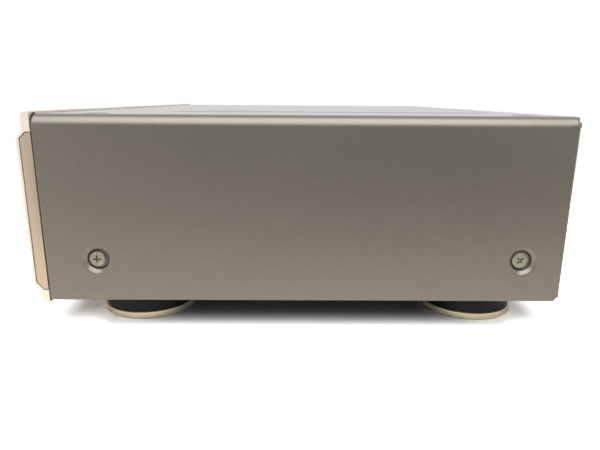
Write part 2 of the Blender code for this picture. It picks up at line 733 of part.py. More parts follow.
def side_screws():
    """A cross-head screw in each side dimple."""
    for side, side_name in ((1, "right"), (-1, "left")):
        for end, depth in screw_depths().items():
            face = side * (HALF_WIDTH - DIMPLE_DEPTH + GAP + SCREW_HEAD_HEIGHT)
            middle = (behind(depth), above(SCREW_UP))
            outline = [(0, 0), (SCREW_HEAD_RADIUS - SCREW_EDGE, 0),
                       (SCREW_HEAD_RADIUS, -SCREW_EDGE), (SCREW_HEAD_RADIUS, -SCREW_HEAD_HEIGHT),
                       (SCREW_SHANK_RADIUS, -SCREW_HEAD_HEIGHT),
                       (SCREW_SHANK_RADIUS, -SCREW_HEAD_HEIGHT - SCREW_SHANK_LENGTH),
                       (0, -SCREW_HEAD_HEIGHT - SCREW_SHANK_LENGTH)]
            screw = turned(f"side_screw_{side_name}_{end}", outline, (face, *middle), side_name,
                           ZINC, sides=16)
            reach = (-CROSS_DEPTH, OVERRUN)
            for size in ((CROSS_SPAN, CROSS_WIDTH), (CROSS_WIDTH, CROSS_SPAN)):
                slot = box([side * end_x for end_x in reach], about(0, size[0]), about(0, size[1]))
                slot.rotation_euler.x = REAR_CROSS_TURN if end == "rear" else 0
                slot.location = (face, *middle)
                cut(screw, slot)


def foot_places():
    """The x and y of each foot's middle, by where it stands."""
    x = HALF_WIDTH - FOOT_SIDE_INSET
    ends = {"front": behind(FOOT_FRONT_INSET), "rear": behind(COVER_LENGTH - FOOT_REAR_INSET)}
    return {f"{end}_{side}": (sign * x, y) for end, y in ends.items()
            for side, sign in (("left", -1), ("right", 1))}


def bottom_chassis():
    """The chassis tray: its walls take the side screws, its floor the feet and the boards."""
    floor = above(COVER_SHEET + GAP)
    outline = [(-CHASSIS_HALF, above(CHASSIS_WALL_HEIGHT)), (-CHASSIS_HALF, floor),
               (CHASSIS_HALF, floor), (CHASSIS_HALF, above(CHASSIS_WALL_HEIGHT))]
    tray = folded("bottom_chassis", outline, (behind(CHASSIS_SET_BACK), behind(REAR_BACK - GAP)),
                  CHASSIS_SHEET, STEEL)
    tray.modifiers["wall"].offset = -1
    top = above(CHASSIS_FLOOR)
    for x, y in main_board_corners():
        join(tray, rod("z", (x, y), top - CHASSIS_SHEET / 2, top + MAIN_LIFT - GAP,
                       STANDOFF_RADIUS, sides=12))
    for x, y in foot_places().values():
        cut(tray, rod("z", (x, y), floor - OVERRUN, top + OVERRUN, SPIGOT_RADIUS + GAP))
    for depth in screw_depths().values():
        for side in (-1, 1):
            outer = side * (CHASSIS_HALF + OVERRUN)
            inner = side * (CHASSIS_HALF - CHASSIS_SHEET - OVERRUN)
            cut(tray, rod("x", (behind(depth), above(SCREW_UP)), outer, inner,
                          SCREW_SHANK_RADIUS + GAP, sides=16))
    for i in range(VENT_COUNT):
        y = behind(VENT_FRONT + i * VENT_PITCH)
        cut(tray, box(about(TRANSFORMER_X, VENT_LENGTH), about(y, VENT_WIDTH),
                      (floor - OVERRUN, top + OVERRUN)))


def rear_panel():
    """The rear panel, with a foot folded forward over the chassis floor."""
    half = HALF_WIDTH - COVER_SHEET - GAP
    top = above(COVER_HEIGHT - COVER_SHEET - GAP)
    panel = box((-half, half), (behind(REAR_BACK), behind(REAR_FACE)),
                (above(COVER_SHEET + GAP), top - COVER_BEND), "rear_panel", GREY_PAINT)
    crown = half - COVER_BEND
    join(panel, box((-crown, crown), (behind(REAR_BACK), behind(REAR_FACE)),
                    (top - REAR_FLANGE, top)))
    foot = CHASSIS_HALF - REAR_FOOT_INSET
    join(panel, box((-foot, foot), (behind(REAR_BACK - REAR_FOOT), behind(REAR_BACK + REAR_SHEET / 2)),
                    (above(CHASSIS_FLOOR + GAP), above(CHASSIS_FLOOR + GAP + REAR_SHEET))))
    through = (behind(REAR_BACK - OVERRUN), behind(REAR_FACE + OVERRUN))
    for x, up, width, height in ((INLET_X, INLET_UP, INLET_WIDTH, INLET_HEIGHT),
                                 (OPTICAL_X, OPTICAL_UP, OPTICAL_WIDTH, OPTICAL_HEIGHT)):
        cut(panel, box(about(x, width + 2 * GAP), through, about(above(up), height + 2 * GAP)))
    for x, z in line_jack_places():
        cut(panel, rod("y", (x, z), *through, LINE_COLLAR_RADIUS + GAP))


def feet():
    """Four feet, each turned, with a spigot through the chassis floor and a ring at its foot."""
    ring_in = RING_RADIUS - RING_WALL
    ring_top = RING_LIFT + RING_HEIGHT
    top = above(COVER_SHEET)
    body = [(0, top + SPIGOT_HEIGHT), (SPIGOT_RADIUS, top + SPIGOT_HEIGHT), (SPIGOT_RADIUS, top),
            (FOOT_RADIUS - FOOT_EDGE, top), (FOOT_RADIUS, top - FOOT_EDGE),
            (FOOT_RADIUS, ring_top + GAP), (ring_in - GAP, ring_top + GAP), (ring_in - GAP, 0),
            (FOOT_WELL_RADIUS, 0), (FOOT_WELL_RADIUS, FOOT_WELL_DEPTH), (0, FOOT_WELL_DEPTH)]
    ring = [(RING_RADIUS - RING_EDGE, ring_top), (RING_RADIUS, ring_top - RING_EDGE),
            (RING_RADIUS, RING_LIFT + RING_EDGE), (RING_RADIUS - RING_EDGE, RING_LIFT),
            (ring_in, RING_LIFT), (ring_in, ring_top)]
    for where, (x, y) in foot_places().items():
        turned(f"foot_{where}", body, (x, y, 0), "up", BLACK_PLASTIC)
        turned(f"foot_ring_{where}", ring, (x, y, 0), "up", RING_GOLD, closed=True)


def panel_outline():
    """The side view of the front panel: two rails and the bulge between them."""
    back = proud(PANEL_JOINT)
    low = (proud(BOTTOM_RAIL_PROUD - BOTTOM_RAIL_ROUND), above(BOTTOM_RAIL_ROUND - PANEL_DROP))
    high = (proud(TOP_RAIL_PROUD - TOP_RAIL_ROUND), above(PANEL_TOP - TOP_RAIL_ROUND))
    outline = [(back, above(-PANEL_DROP))] + arc(low, BOTTOM_RAIL_ROUND, 270, 180)
    outline += [(proud(BOTTOM_RAIL_PROUD), above(BOTTOM_RAIL_TOP)),
                (proud(BULGE_PROUD), above(BULGE_BOTTOM)), (proud(BULGE_PROUD), above(BULGE_TOP)),
                (proud(TOP_RAIL_PROUD), above(TOP_RAIL_FOOT))]
    return outline + arc(high, TOP_RAIL_ROUND, 180, 90) + [(back, above(PANEL_TOP))]


def hollow_outline(back, shrink):
    """The side view of the panel's hollow, smaller all round by a clearance."""
    return [(back, above(HOLLOW_TOP - shrink)),
            (proud(HOLLOW_TOP_LEDGE - shrink / 2), above(HOLLOW_TOP - shrink)),
            (proud(HOLLOW_FRONT - shrink), above(HOLLOW_SHOULDER - shrink / 2)),
            (proud(HOLLOW_FRONT - shrink), above(HOLLOW_HIP + shrink / 2)),
            (proud(HOLLOW_BOTTOM_LEDGE - shrink / 2), above(HOLLOW_BOTTOM + shrink)),
            (back, above(HOLLOW_BOTTOM + shrink))]


def key_places():
    """The middle, width and height of each button, by name."""
    first = DISPLAY_X - KEY_SPAN / 2
    places = {name: (first + i * KEY_PITCH, KEY_ROW_UP, KEY_WIDTH, KEY_HEIGHT)
              for i, name in enumerate(KEY_ROW)}
    places["power_button"] = (POWER_X, POWER_UP, POWER_WIDTH, POWER_HEIGHT)
    places["eject_button"] = (EJECT_X, SLOT_UP, EJECT_WIDTH, KEY_HEIGHT)
    return places


def shaft_places():
    """The middle of each turned control's shaft."""
    return ((JOG_X, JOG_UP), (RECORD_LEVEL_X, RECORD_LEVEL_UP), (PHONES_LEVEL_X, PHONES_UP))


def bezel_heights():
    """The lowest and highest z of the bezel's tunnel walls."""
    floor = SLOT_UP - SLOT_HEIGHT / 2
    return above(floor - TUNNEL_FLOOR), above(floor + SLOT_HEIGHT + TUNNEL_RAISE + TUNNEL_ROOF)


def front_panel():
    """The front panel: a hollow extrusion with an opening for each control."""
    panel = plate(panel_outline(), (-HALF_WIDTH, HALF_WIDTH), "front_panel", CHAMPAGNE)
    wide = (-HALF_WIDTH - OVERRUN, HALF_WIDTH + OVERRUN)
    cut(panel, plate(hollow_outline(behind(OVERRUN), 0), wide))
    through = (proud(BULGE_PROUD + OVERRUN), proud(HOLLOW_FRONT - OVERRUN))
    openings = [(x, up, width + 2 * GAP, height + 2 * GAP)
                for x, up, width, height in key_places().values()]
    openings.append((DISPLAY_X, DISPLAY_UP, WINDOW_WIDTH + 2 * GAP, WINDOW_HEIGHT + 2 * GAP))
    openings.append((TIMER_X, PHONES_UP, TIMER_SLOT_WIDTH, TIMER_SLOT_HEIGHT))
    for x, up, width, height in openings:
        cut(panel, box(about(x, width), through, about(above(up), height)))
    low, high = bezel_heights()
    cut(panel, box(about(SLOT_X, SLOT_WIDTH + 2 * TUNNEL_SIDE + 2 * GAP), through,
                   (low - GAP, high + GAP)))
    for x, up in shaft_places():
        cut(panel, rod("y", (x, above(up)), *through, SHAFT_RADIUS + PLAY))
    cut(panel, rod("y", (JACK_X, above(PHONES_UP)), *through, JACK_BARREL_RADIUS + GAP))


def end_caps():
    """A plate let into each open end of the front panel."""
    outline = hollow_outline(proud(END_CAP_BACK), GAP)
    for name, side in (("end_cap_left", -1), ("end_cap_right", 1)):
        ends = sorted((side * (HALF_WIDTH - END_CAP_DEPTH), side * HALF_WIDTH))
        plate(outline, ends, name, TAUPE)


def front_subframe():
    """The moulded frame in the panel's hollow, with ears beside the chassis and board pillars."""
    half = HALF_WIDTH - END_CAP_DEPTH - GAP
    heights = (above(HOLLOW_BOTTOM + GAP), above(HOLLOW_TOP - GAP))
    frame = box((-half, half), (proud(SUBFRAME_FACE), proud(SUBFRAME_BACK)), heights,
                "front_subframe", BLACK_PLASTIC)
    middle = proud((SUBFRAME_FACE + SUBFRAME_BACK) / 2)
    ear = CHASSIS_HALF - CHASSIS_SHEET - GAP
    for side in (-1, 1):
        join(frame, box((side * (ear - EAR_WIDTH), side * ear), (middle, behind(EAR_LENGTH)),
                        (above(EAR_BOTTOM), above(EAR_TOP))))
    for x, up in pillar_places():
        join(frame, rod("y", (x, above(up)), middle, behind(BOARD_FACE - GAP), PILLAR_RADIUS,
                        sides=12))
    guide = HOLLOW_FRONT - GAP - KEY_FLANGE_SHEET - GAP
    join(frame, box(about(TIMER_X, TIMER_FLANGE_WIDTH), (proud(guide), middle),
                    about(above(PHONES_UP), TIMER_FLANGE_HEIGHT)))

    through = (proud(SUBFRAME_FACE + OVERRUN), proud(SUBFRAME_BACK - OVERRUN))
    cut(frame, box(about(DISPLAY_X, TUBE_WIDTH + 2 * PLAY), through,
                   about(above(DISPLAY_UP), TUBE_HEIGHT + 2 * PLAY)))
    for x, up, _, _ in key_places().values():
        stem = STEM_SIZE + 2 * PLAY
        cut(frame, box(about(x, stem), through, about(above(up), stem)))
    low, high = bezel_heights()
    cut(frame, box(about(SLOT_X, SLOT_WIDTH + 2 * TUNNEL_SIDE + 2 * GAP), through,
                   (low - GAP, high + GAP)))
    for x, up in shaft_places():
        cut(frame, rod("y", (x, above(up)), *through, SHAFT_RADIUS + PLAY))
    jack = JACK_BODY_SIZE + 2 * GAP
    cut(frame, box(about(JACK_X, jack), through, about(above(PHONES_UP), jack)))


def board_half():
    """Half the width of the control board."""
    return HALF_WIDTH - BOARD_SIDE_INSET


def pillar_places():
    """Where the control board's pillars stand: near its corners."""
    x = board_half() - PILLAR_INSET
    return [(side * x, up) for side in (-1, 1)
            for up in (BOARD_BOTTOM + PILLAR_INSET, BOARD_TOP - PILLAR_INSET)]


def control_board():
    """The board behind the controls, with its switches, encoder and level controls."""
    half = board_half()
    face = behind(BOARD_FACE)
    board = box((-half, half), (face, behind(BOARD_FACE + BOARD_SHEET)),
                (above(BOARD_BOTTOM), above(BOARD_TOP)), "control_board", BOARD_BROWN)
    middle = behind(BOARD_FACE + BOARD_SHEET / 2)
    stem_end = STEM_OUT - SUBFRAME_BACK
    for x, up, _, _ in key_places().values():
        join(board, box(about(x, TACT_SIZE), (behind(stem_end + KEY_TRAVEL + GAP), middle),
                        about(above(up), TACT_SIZE)))
    for x, up in shaft_places():
        join(board, box(about(x, ENCODER_SIZE), (face - ENCODER_HEIGHT, middle),
                        about(above(up), ENCODER_SIZE)))
        cut(board, rod("y", (x, above(up)), face - ENCODER_HEIGHT - OVERRUN,
                       face - ENCODER_HEIGHT + SHAFT_SEAT + JOG_TRAVEL + GAP, SHAFT_RADIUS + GAP))
    through = (face - OVERRUN, behind(BOARD_FACE + BOARD_SHEET + OVERRUN))
    cut(board, box(about(SLOT_X, SLOT_WIDTH + 2 * TUNNEL_SIDE + 2 * PLAY), through,
                   (bezel_heights()[0] - PLAY, above(BOARD_TOP + OVERRUN))))
    jack = JACK_BODY_SIZE + 2 * PLAY
    cut(board, box(about(JACK_X, jack), through, about(above(PHONES_UP), jack)))


def buttons():
    """The buttons: a cap through the panel, a flange behind it and a stem to the switch."""
    flange_y = (proud(HOLLOW_FRONT - GAP), proud(HOLLOW_FRONT - GAP - KEY_FLANGE_SHEET))
    middle = sum(flange_y) / 2
    for name, (x, up, width, height) in key_places().items():
        z = above(up)
        cap = box(about(x, width), (proud(BULGE_PROUD + KEY_PROUD), middle), about(z, height),
                  name, CHAMPAGNE)
        bevel(cap, KEY_EDGE)
        flange = box(about(x, width + 2 * KEY_FLANGE), flange_y, about(z, height + 2 * KEY_FLANGE))
        stem = box(about(x, STEM_SIZE), (middle, proud(SUBFRAME_BACK - STEM_OUT)),
                   about(z, STEM_SIZE))
        join(cap, flange, stem)
        set_origin(cap, x, proud(BULGE_PROUD), z)


def display():
    """The smoked window, held by its flange behind the panel, and the display tube behind it."""
    x, z = DISPLAY_X, above(DISPLAY_UP)
    front = proud(BULGE_PROUD - GAP)
    window = box(about(x, WINDOW_WIDTH), (front, front + WINDOW_SHEET), about(z, WINDOW_HEIGHT),
                 "display_window", SMOKED_GLASS)
    join(window, box(about(x, WINDOW_WIDTH + 2 * WINDOW_FLANGE),
                     (proud(HOLLOW_FRONT - GAP), front + WINDOW_SHEET),
                     about(z, WINDOW_HEIGHT + 2 * WINDOW_FLANGE)))
    back = behind(BOARD_FACE - GAP)
    box(about(x, TUBE_WIDTH), (back - TUBE_DEPTH, back), about(z, TUBE_HEIGHT),
        "display_tube", DARK_GLASS)


def slot_bezel():
    """The bezel round the disc slot, with the tunnel that its door swings up into."""
    low, high = bezel_heights()
    face = proud(BULGE_PROUD + BEZEL_PROUD)
    back = proud(BULGE_PROUD + GAP)
    bezel = box(about(SLOT_X, BEZEL_WIDTH), (face, back), about(above(SLOT_UP), BEZEL_HEIGHT),
                "slot_bezel", BLACK_PLASTIC)
    bevel(bezel, BEZEL_EDGE / 2)
    tunnel_y = ((face + back) / 2, behind(TUNNEL_END))
    join(bezel, box(about(SLOT_X, SLOT_WIDTH + 2 * TUNNEL_SIDE), tunnel_y, (low, high)))
    axis_y, axis_z = proud(DOOR_AXIS[0]), above(DOOR_AXIS[1])
    floor = above(SLOT_UP - SLOT_HEIGHT / 2)
    room_y = (axis_y - DOOR_PIN_RADIUS - GAP, behind(TUNNEL_END + OVERRUN))
    cut(bezel, box(about(SLOT_X, SLOT_WIDTH), (face - OVERRUN, axis_y),
                   (floor, floor + SLOT_HEIGHT)))
    cut(bezel, box(about(SLOT_X, SLOT_WIDTH), room_y, (floor, high - TUNNEL_ROOF)))
    ends = about(SLOT_X, SLOT_WIDTH + 2 * DOOR_PIN_LENGTH + 2 * GAP)
    cut(bezel, rod("x", (axis_y, axis_z), *ends, DOOR_PIN_RADIUS + GAP, sides=16))


def slot_door():
    """The door of the disc slot, hinged on pins along its upper edge."""
    axis_y, axis_z = proud(DOOR_AXIS[0]), above(DOOR_AXIS[1])
    floor = above(SLOT_UP - SLOT_HEIGHT / 2)
    door = box(about(SLOT_X, SLOT_WIDTH - 2 * PLAY), about(axis_y, DOOR_SHEET),
               (floor + GAP, axis_z), "slot_door", BLACK_PLASTIC)
    ends = about(SLOT_X, SLOT_WIDTH + 2 * DOOR_PIN_LENGTH)
    join(door, rod("x", (axis_y, axis_z), *ends, DOOR_PIN_RADIUS, sides=16))
    set_origin(door, SLOT_X, axis_y, axis_z)


def jog():
    """The jog dial and the shaft that it turns on, which also pushes in."""
    z = above(JOG_UP)
    rear = BULGE_PROUD + JOG_LIFT
    front = BULGE_PROUD + JOG_PROUD
    reach = rear + (front - rear) * SHAFT_IN_SHARE
    seat = behind(BOARD_FACE) - ENCODER_HEIGHT + SHAFT_SEAT
    shaft = rod("y", (JOG_X, z), proud(reach), seat, SHAFT_RADIUS, name="jog_shaft", finish=STEEL)
    set_origin(shaft, JOG_X, proud(BULGE_PROUD), z)
    depth = front - rear
    outline = [(0, depth), (JOG_RADIUS - JOG_EDGE, depth), (JOG_RADIUS, depth - JOG_EDGE),
               (JOG_RADIUS, 0), (0, 0)]
    dial = turned("jog_dial", outline, (JOG_X, proud(rear), z), "front", CHAMPAGNE, sides=32)
    cut(dial, rod("y", (JOG_X, z), proud(reach + GAP), proud(rear - OVERRUN), SHAFT_RADIUS + GAP))
    rim = JOG_DISH_RADIUS * (1 + OVERRUN / JOG_DISH_DEPTH)
    cut(dial, rod("y", (JOG_X, z + JOG_DISH_IN), proud(front + OVERRUN),
                  proud(front - JOG_DISH_DEPTH), rim, JOG_DISH_RADIUS - JOG_DISH_DEPTH))


def level_knobs():
    """The two level knobs, each one piece with its shaft, with a pointer groove on its face."""
    seat = ENCODER_HEIGHT - SHAFT_SEAT - BOARD_FACE
    for name, x, up, radius, out in (
            ("record_level_knob", RECORD_LEVEL_X, RECORD_LEVEL_UP, RECORD_LEVEL_RADIUS,
             RECORD_LEVEL_PROUD),
            ("phones_level_knob", PHONES_LEVEL_X, PHONES_UP, PHONES_LEVEL_RADIUS,
             PHONES_LEVEL_PROUD)):
        rear = BULGE_PROUD + KNOB_LIFT
        depth = out - KNOB_LIFT
        length = rear - seat
        outline = [(0, depth), (radius - KNOB_EDGE, depth), (radius, depth - KNOB_EDGE),
                   (radius, 0), (SHAFT_RADIUS, 0), (SHAFT_RADIUS, -length), (0, -length)]
        knob = turned(name, outline, (x, proud(rear), above(up)), "front", CHAMPAGNE)
        face = BULGE_PROUD + out
        cut(knob, box(about(x, KNOB_MARK_WIDTH),
                      (proud(face + OVERRUN), proud(face - KNOB_MARK_DEPTH)),
                      (above(up) + radius / 2, above(up) + radius + OVERRUN)))


def phones_jack():
    """The headphone jack: a nut before the panel, a barrel through it and a body behind."""
    z = above(PHONES_UP)
    nut = rod("y", (JACK_X, z), proud(BULGE_PROUD + JACK_NUT_PROUD), proud(BULGE_PROUD + GAP),
              JACK_NUT_RADIUS, name="phones_jack", finish=BLACK_PLASTIC, sides=24)
    front = proud(BULGE_PROUD + (JACK_NUT_PROUD + GAP) / 2)
    body_front = proud(HOLLOW_FRONT - GAP)
    body_back = body_front + JACK_BODY_DEPTH
    barrel = rod("y", (JACK_X, z), front, (body_front + body_back) / 2, JACK_BARREL_RADIUS)
    body = box(about(JACK_X, JACK_BODY_SIZE), (body_front, body_back), about(z, JACK_BODY_SIZE))
    mouth = proud(BULGE_PROUD + JACK_NUT_PROUD)
    bore = rod("y", (JACK_X, z), mouth - OVERRUN, mouth + JACK_BORE_DEPTH, JACK_BORE_RADIUS)
    cut(join(nut, barrel, body), bore)


def timer_switch():
    """The timer switch: a lever through its slot, on a slide behind the panel."""
    z = above(PHONES_UP)
    slide_y = (proud(HOLLOW_FRONT - GAP), proud(HOLLOW_FRONT - GAP - KEY_FLANGE_SHEET))
    lever = box(about(TIMER_X, TIMER_LEVER_WIDTH), (proud(BULGE_PROUD + TIMER_PROUD), sum(slide_y) / 2),
                about(z, TIMER_SLOT_HEIGHT - 2 * GAP), "timer_switch", BLACK_PLASTIC)
    join(lever, box(about(TIMER_X, TIMER_FLANGE_WIDTH), slide_y, about(z, TIMER_FLANGE_HEIGHT)))
    set_origin(lever, TIMER_X, proud(BULGE_PROUD), z)


def toothed(start, length, root, tip):
    """The toothed edge of a rack: (along, across) points from its start to its end."""
    count = round(length / TOOTH_PITCH)
    step = length / count
    points = []
    for i in range(count):
        foot = start + i * step
        points += [(foot, root), (foot + step / 4, tip), (foot + step / 2, tip),
                   (foot + step * 3 / 4, root)]
    return points + [(start + length, root)]


def gear(name, x, y, up, radius):
    """A spur gear that turns on an upright post."""
    count = round(2 * math.pi * radius / TOOTH_PITCH)
    outline = []
    for i in range(count):
        for quarter, reach in enumerate((radius - TOOTH_DEPTH, radius, radius,
                                         radius - TOOTH_DEPTH)):
            turn = 2 * math.pi * (i + quarter / 4) / count
            outline.append((x + reach * math.cos(turn), y + reach * math.sin(turn)))
    heights = about(above(up), GEAR_SHEET)
    wheel = plate(outline, heights, name, WHITE_RESIN, axis="z")
    cut(wheel, rod("z", (x, y), heights[0] - OVERRUN, heights[1] + OVERRUN,
                   GEAR_POST_RADIUS + GAP, sides=16))
    set_origin(wheel, x, y, above(up))


def mechanism_bracket():
    """The bracket that carries the mechanism: a base on the chassis floor and four posts."""
    base = (above(CHASSIS_FLOOR + GAP), above(CHASSIS_FLOOR + GAP + BRACKET_SHEET))
    middles_x = (SLOT_X - PILLAR_LEFT, SLOT_X + PILLAR_RIGHT)
    middles_y = (behind(MECH_FRONT + PILLAR_END_INSET), behind(MECH_BACK - PILLAR_END_INSET))
    half = PILLAR_SIZE / 2
    bracket = box((middles_x[0] - half, middles_x[1] + half),
                  (middles_y[0] - half, middles_y[1] + half), base, "mechanism_bracket", STEEL)
    for x in middles_x:
        for y in middles_y:
            join(bracket, box(about(x, PILLAR_SIZE - GAP), about(y, PILLAR_SIZE - GAP),
                              (sum(base) / 2, above(MECH_UNDER - GAP))))


def mechanism_chassis():
    """The mechanism's plate with the holder's side walls, the rod posts and the gear posts."""
    plate_z = (above(MECH_UNDER), above(MECH_PLATE))
    middle = sum(plate_z) / 2
    frame = box((SLOT_X - MECH_LEFT, SLOT_X + MECH_RIGHT), (behind(MECH_FRONT), behind(MECH_BACK)),
                plate_z, "mechanism_chassis", STEEL)
    gear_x = SLOT_X - LOADING_GEAR_X
    motor_x = SLOT_X - LOADING_MOTOR_X
    gear_z = above(LOADING_GEAR_UP)
    join(frame, box((gear_x - LOADING_GEAR_RADIUS, SLOT_X - CAM_OUT),
                    (behind(TAB_FRONT), behind(TAB_BACK)), plate_z))
    wall = box(about(motor_x, 2 * MOTOR_WALL_HALF), (behind(TAB_BACK - MOTOR_WALL), behind(TAB_BACK)),
               about(gear_z, 2 * MOTOR_WALL_HALF))
    worm = rod("y", (motor_x, gear_z), behind(TAB_BACK - MOTOR_WALL - OVERRUN),
               behind(TAB_BACK + OVERRUN), WORM_RADIUS + GAP, sides=16)
    post = rod("z", (gear_x, behind(LOADING_GEAR_BACK)), middle,
               gear_z + GEAR_SHEET / 2 + GAP, GEAR_POST_RADIUS, sides=16)
    cut(join(frame, wall, post), worm)

    for side in (-1, 1):
        edges = (SLOT_X + side * WALL_IN, SLOT_X + side * WALL_OUT)
        join(frame, box(edges, (behind(MECH_FRONT), behind(MECH_BACK)),
                        (middle, above(SLOT_UP + MECH_WALL_TOP))))
        for depth in HOLDER_PINS:
            fit = HOLDER_PIN_RADIUS + GAP
            cut(frame, box((edges[0] - side * OVERRUN, edges[1] + side * OVERRUN),
                           about(behind(depth), 2 * fit),
                           (above(SLOT_UP - HOLDER_DROP - fit), above(SLOT_UP + fit))))
    spindle = (SLOT_X, behind(SPINDLE_BACK))
    cut(frame, box((SLOT_X + WALL_IN - OVERRUN, SLOT_X + WALL_OUT + OVERRUN),
                   about(spindle[1], 2 * MECH_NOTCH_HALF),
                   (middle, above(SLOT_UP + MECH_WALL_TOP + OVERRUN))))
    cut(frame, box((SLOT_X + SLED_WELL_LEFT, SLOT_X + SLED_WELL_RIGHT),
                   about(spindle[1], 2 * SLED_WELL_HALF),
                   (plate_z[0] - OVERRUN, plate_z[1])))
    cut(frame, rod("z", spindle, plate_z[0] - OVERRUN, plate_z[1] + OVERRUN,
                   SPINDLE_RADIUS + PLAY, sides=16))
    for end in ((SLED_WELL_LEFT - ROD_POST, SLED_WELL_LEFT),
                (SLED_WELL_RIGHT, SLED_WELL_RIGHT + ROD_POST)):
        for side in (-1, 1):
            join(frame, box([SLOT_X + x for x in end],
                            about(spindle[1] + side * ROD_SPREAD, ROD_POST_LENGTH),
                            (above(MECH_PLATE - ROD_POST_DROP), middle)))
    for side in (-1, 1):
        start, stop = rod_ends()
        cut(frame, rod("x", (spindle[1] + side * ROD_SPREAD, above(ROD_UP)), start - GAP,
                       stop + GAP, ROD_RADIUS + GAP, sides=16))

    motor_y, motor_z = behind(SLED_MOTOR_BACK), above(SLED_GEAR_UP)
    wall_x = SLOT_X + SLED_WALL_X
    body = MOTOR_RADIUS + PLAY
    cut(frame, box((wall_x - GAP - MOTOR_LENGTH - PLAY, wall_x), about(motor_y, 2 * body),
                   (plate_z[0] - OVERRUN, plate_z[1] + OVERRUN)))
    hanger = box((wall_x, wall_x + MOTOR_WALL), about(motor_y, 2 * MOTOR_WALL_HALF),
                 (motor_z - MOTOR_WALL_HALF, middle))
    worm = rod("x", (motor_y, motor_z), wall_x - OVERRUN, wall_x + MOTOR_WALL + OVERRUN,
               WORM_RADIUS + GAP, sides=16)
    post = rod("z", (SLOT_X + SLED_GEAR_X, behind(SLED_GEAR_BACK)), middle,
               motor_z - GEAR_SHEET / 2 - GAP, GEAR_POST_RADIUS, sides=16)
    cut(join(frame, hanger, post), worm)


def rod_ends():
    """The x of the two ends of the sled's guide rods."""
    return (SLOT_X + SLED_WELL_LEFT - ROD_IN_POST, SLOT_X + SLED_WELL_RIGHT + ROD_IN_POST)


def guide_rods():
    """The two rods that the pickup sled slides on."""
    for name, side in (("guide_rod_front", -1), ("guide_rod_rear", 1)):
        across = (behind(SPINDLE_BACK + side * ROD_SPREAD), above(ROD_UP))
        rod("x", across, *rod_ends(), ROD_RADIUS, name=name, finish=BRIGHT_STEEL, sides=16)


def disc_holder():
    """The holder that takes the cartridge and drops it on the turntable."""
    front, back = behind(HOLDER_FRONT), behind(HOLDER_FRONT + HOLDER_LENGTH)
    z = above(SLOT_UP)
    holder = box(about(SLOT_X, 2 * HOLDER_OUT), (front, back), about(z, 2 * HOLDER_OUT_UP),
                 "disc_holder", STEEL)
    cut(holder, box(about(SLOT_X, 2 * HOLDER_IN), (front - OVERRUN, back - HOLDER_SHEET),
                    about(z, 2 * HOLDER_IN_UP)))
    cut(holder, box(about(SLOT_X, 2 * (HOLDER_IN - HOLDER_LEDGE)),
                    (front - OVERRUN, back - HOLDER_LEDGE), (z - HOLDER_OUT_UP - OVERRUN, z)))
    cut(holder, box((SLOT_X + HEAD_SLOT_START, SLOT_X + HOLDER_IN),
                    about(behind(SPINDLE_BACK), HEAD_SLOT_WIDTH), (z, z + HOLDER_OUT_UP + OVERRUN)))
    inner = HOLDER_OUT - HOLDER_SHEET / 2
    for depth in HOLDER_PINS:
        for ends in ((SLOT_X - CAM_OUT - HOLDER_PIN_OUT, SLOT_X - inner),
                     (SLOT_X + inner, SLOT_X + WALL_OUT + HOLDER_PIN_OUT)):
            join(holder, rod("x", (behind(depth), z), *ends, HOLDER_PIN_RADIUS, sides=16))
    set_origin(holder, SLOT_X, behind(SPINDLE_BACK), z)


def spindle():
    """The spindle motor under the mechanism's plate, and the turntable on its shaft."""
    place_at = (SLOT_X, behind(SPINDLE_BACK))
    top = above(MECH_UNDER - GAP)
    deck = above(MECH_PLATE + TURNTABLE_LIFT + TURNTABLE_SHEET)
    motor = rod("z", place_at, top - SPINDLE_MOTOR_HEIGHT, top, SPINDLE_MOTOR_RADIUS,
                name="spindle_motor", finish=STEEL)
    join(motor, rod("z", place_at, top - SPINDLE_MOTOR_HEIGHT / 2, deck, SPINDLE_RADIUS, sides=12))
    table = rod("z", place_at, deck - TURNTABLE_SHEET, deck, TURNTABLE_RADIUS, name="turntable",
                finish=WHITE_RESIN, sides=32)
    join(table, rod("z", place_at, deck - TURNTABLE_SHEET / 2, deck + HUB_HEIGHT, HUB_RADIUS))
    cut(table, rod("z", place_at, deck - TURNTABLE_SHEET - OVERRUN, deck + HUB_HEIGHT / 2,
                   SPINDLE_RADIUS + GAP, sides=12))
    set_origin(table, *place_at, deck)


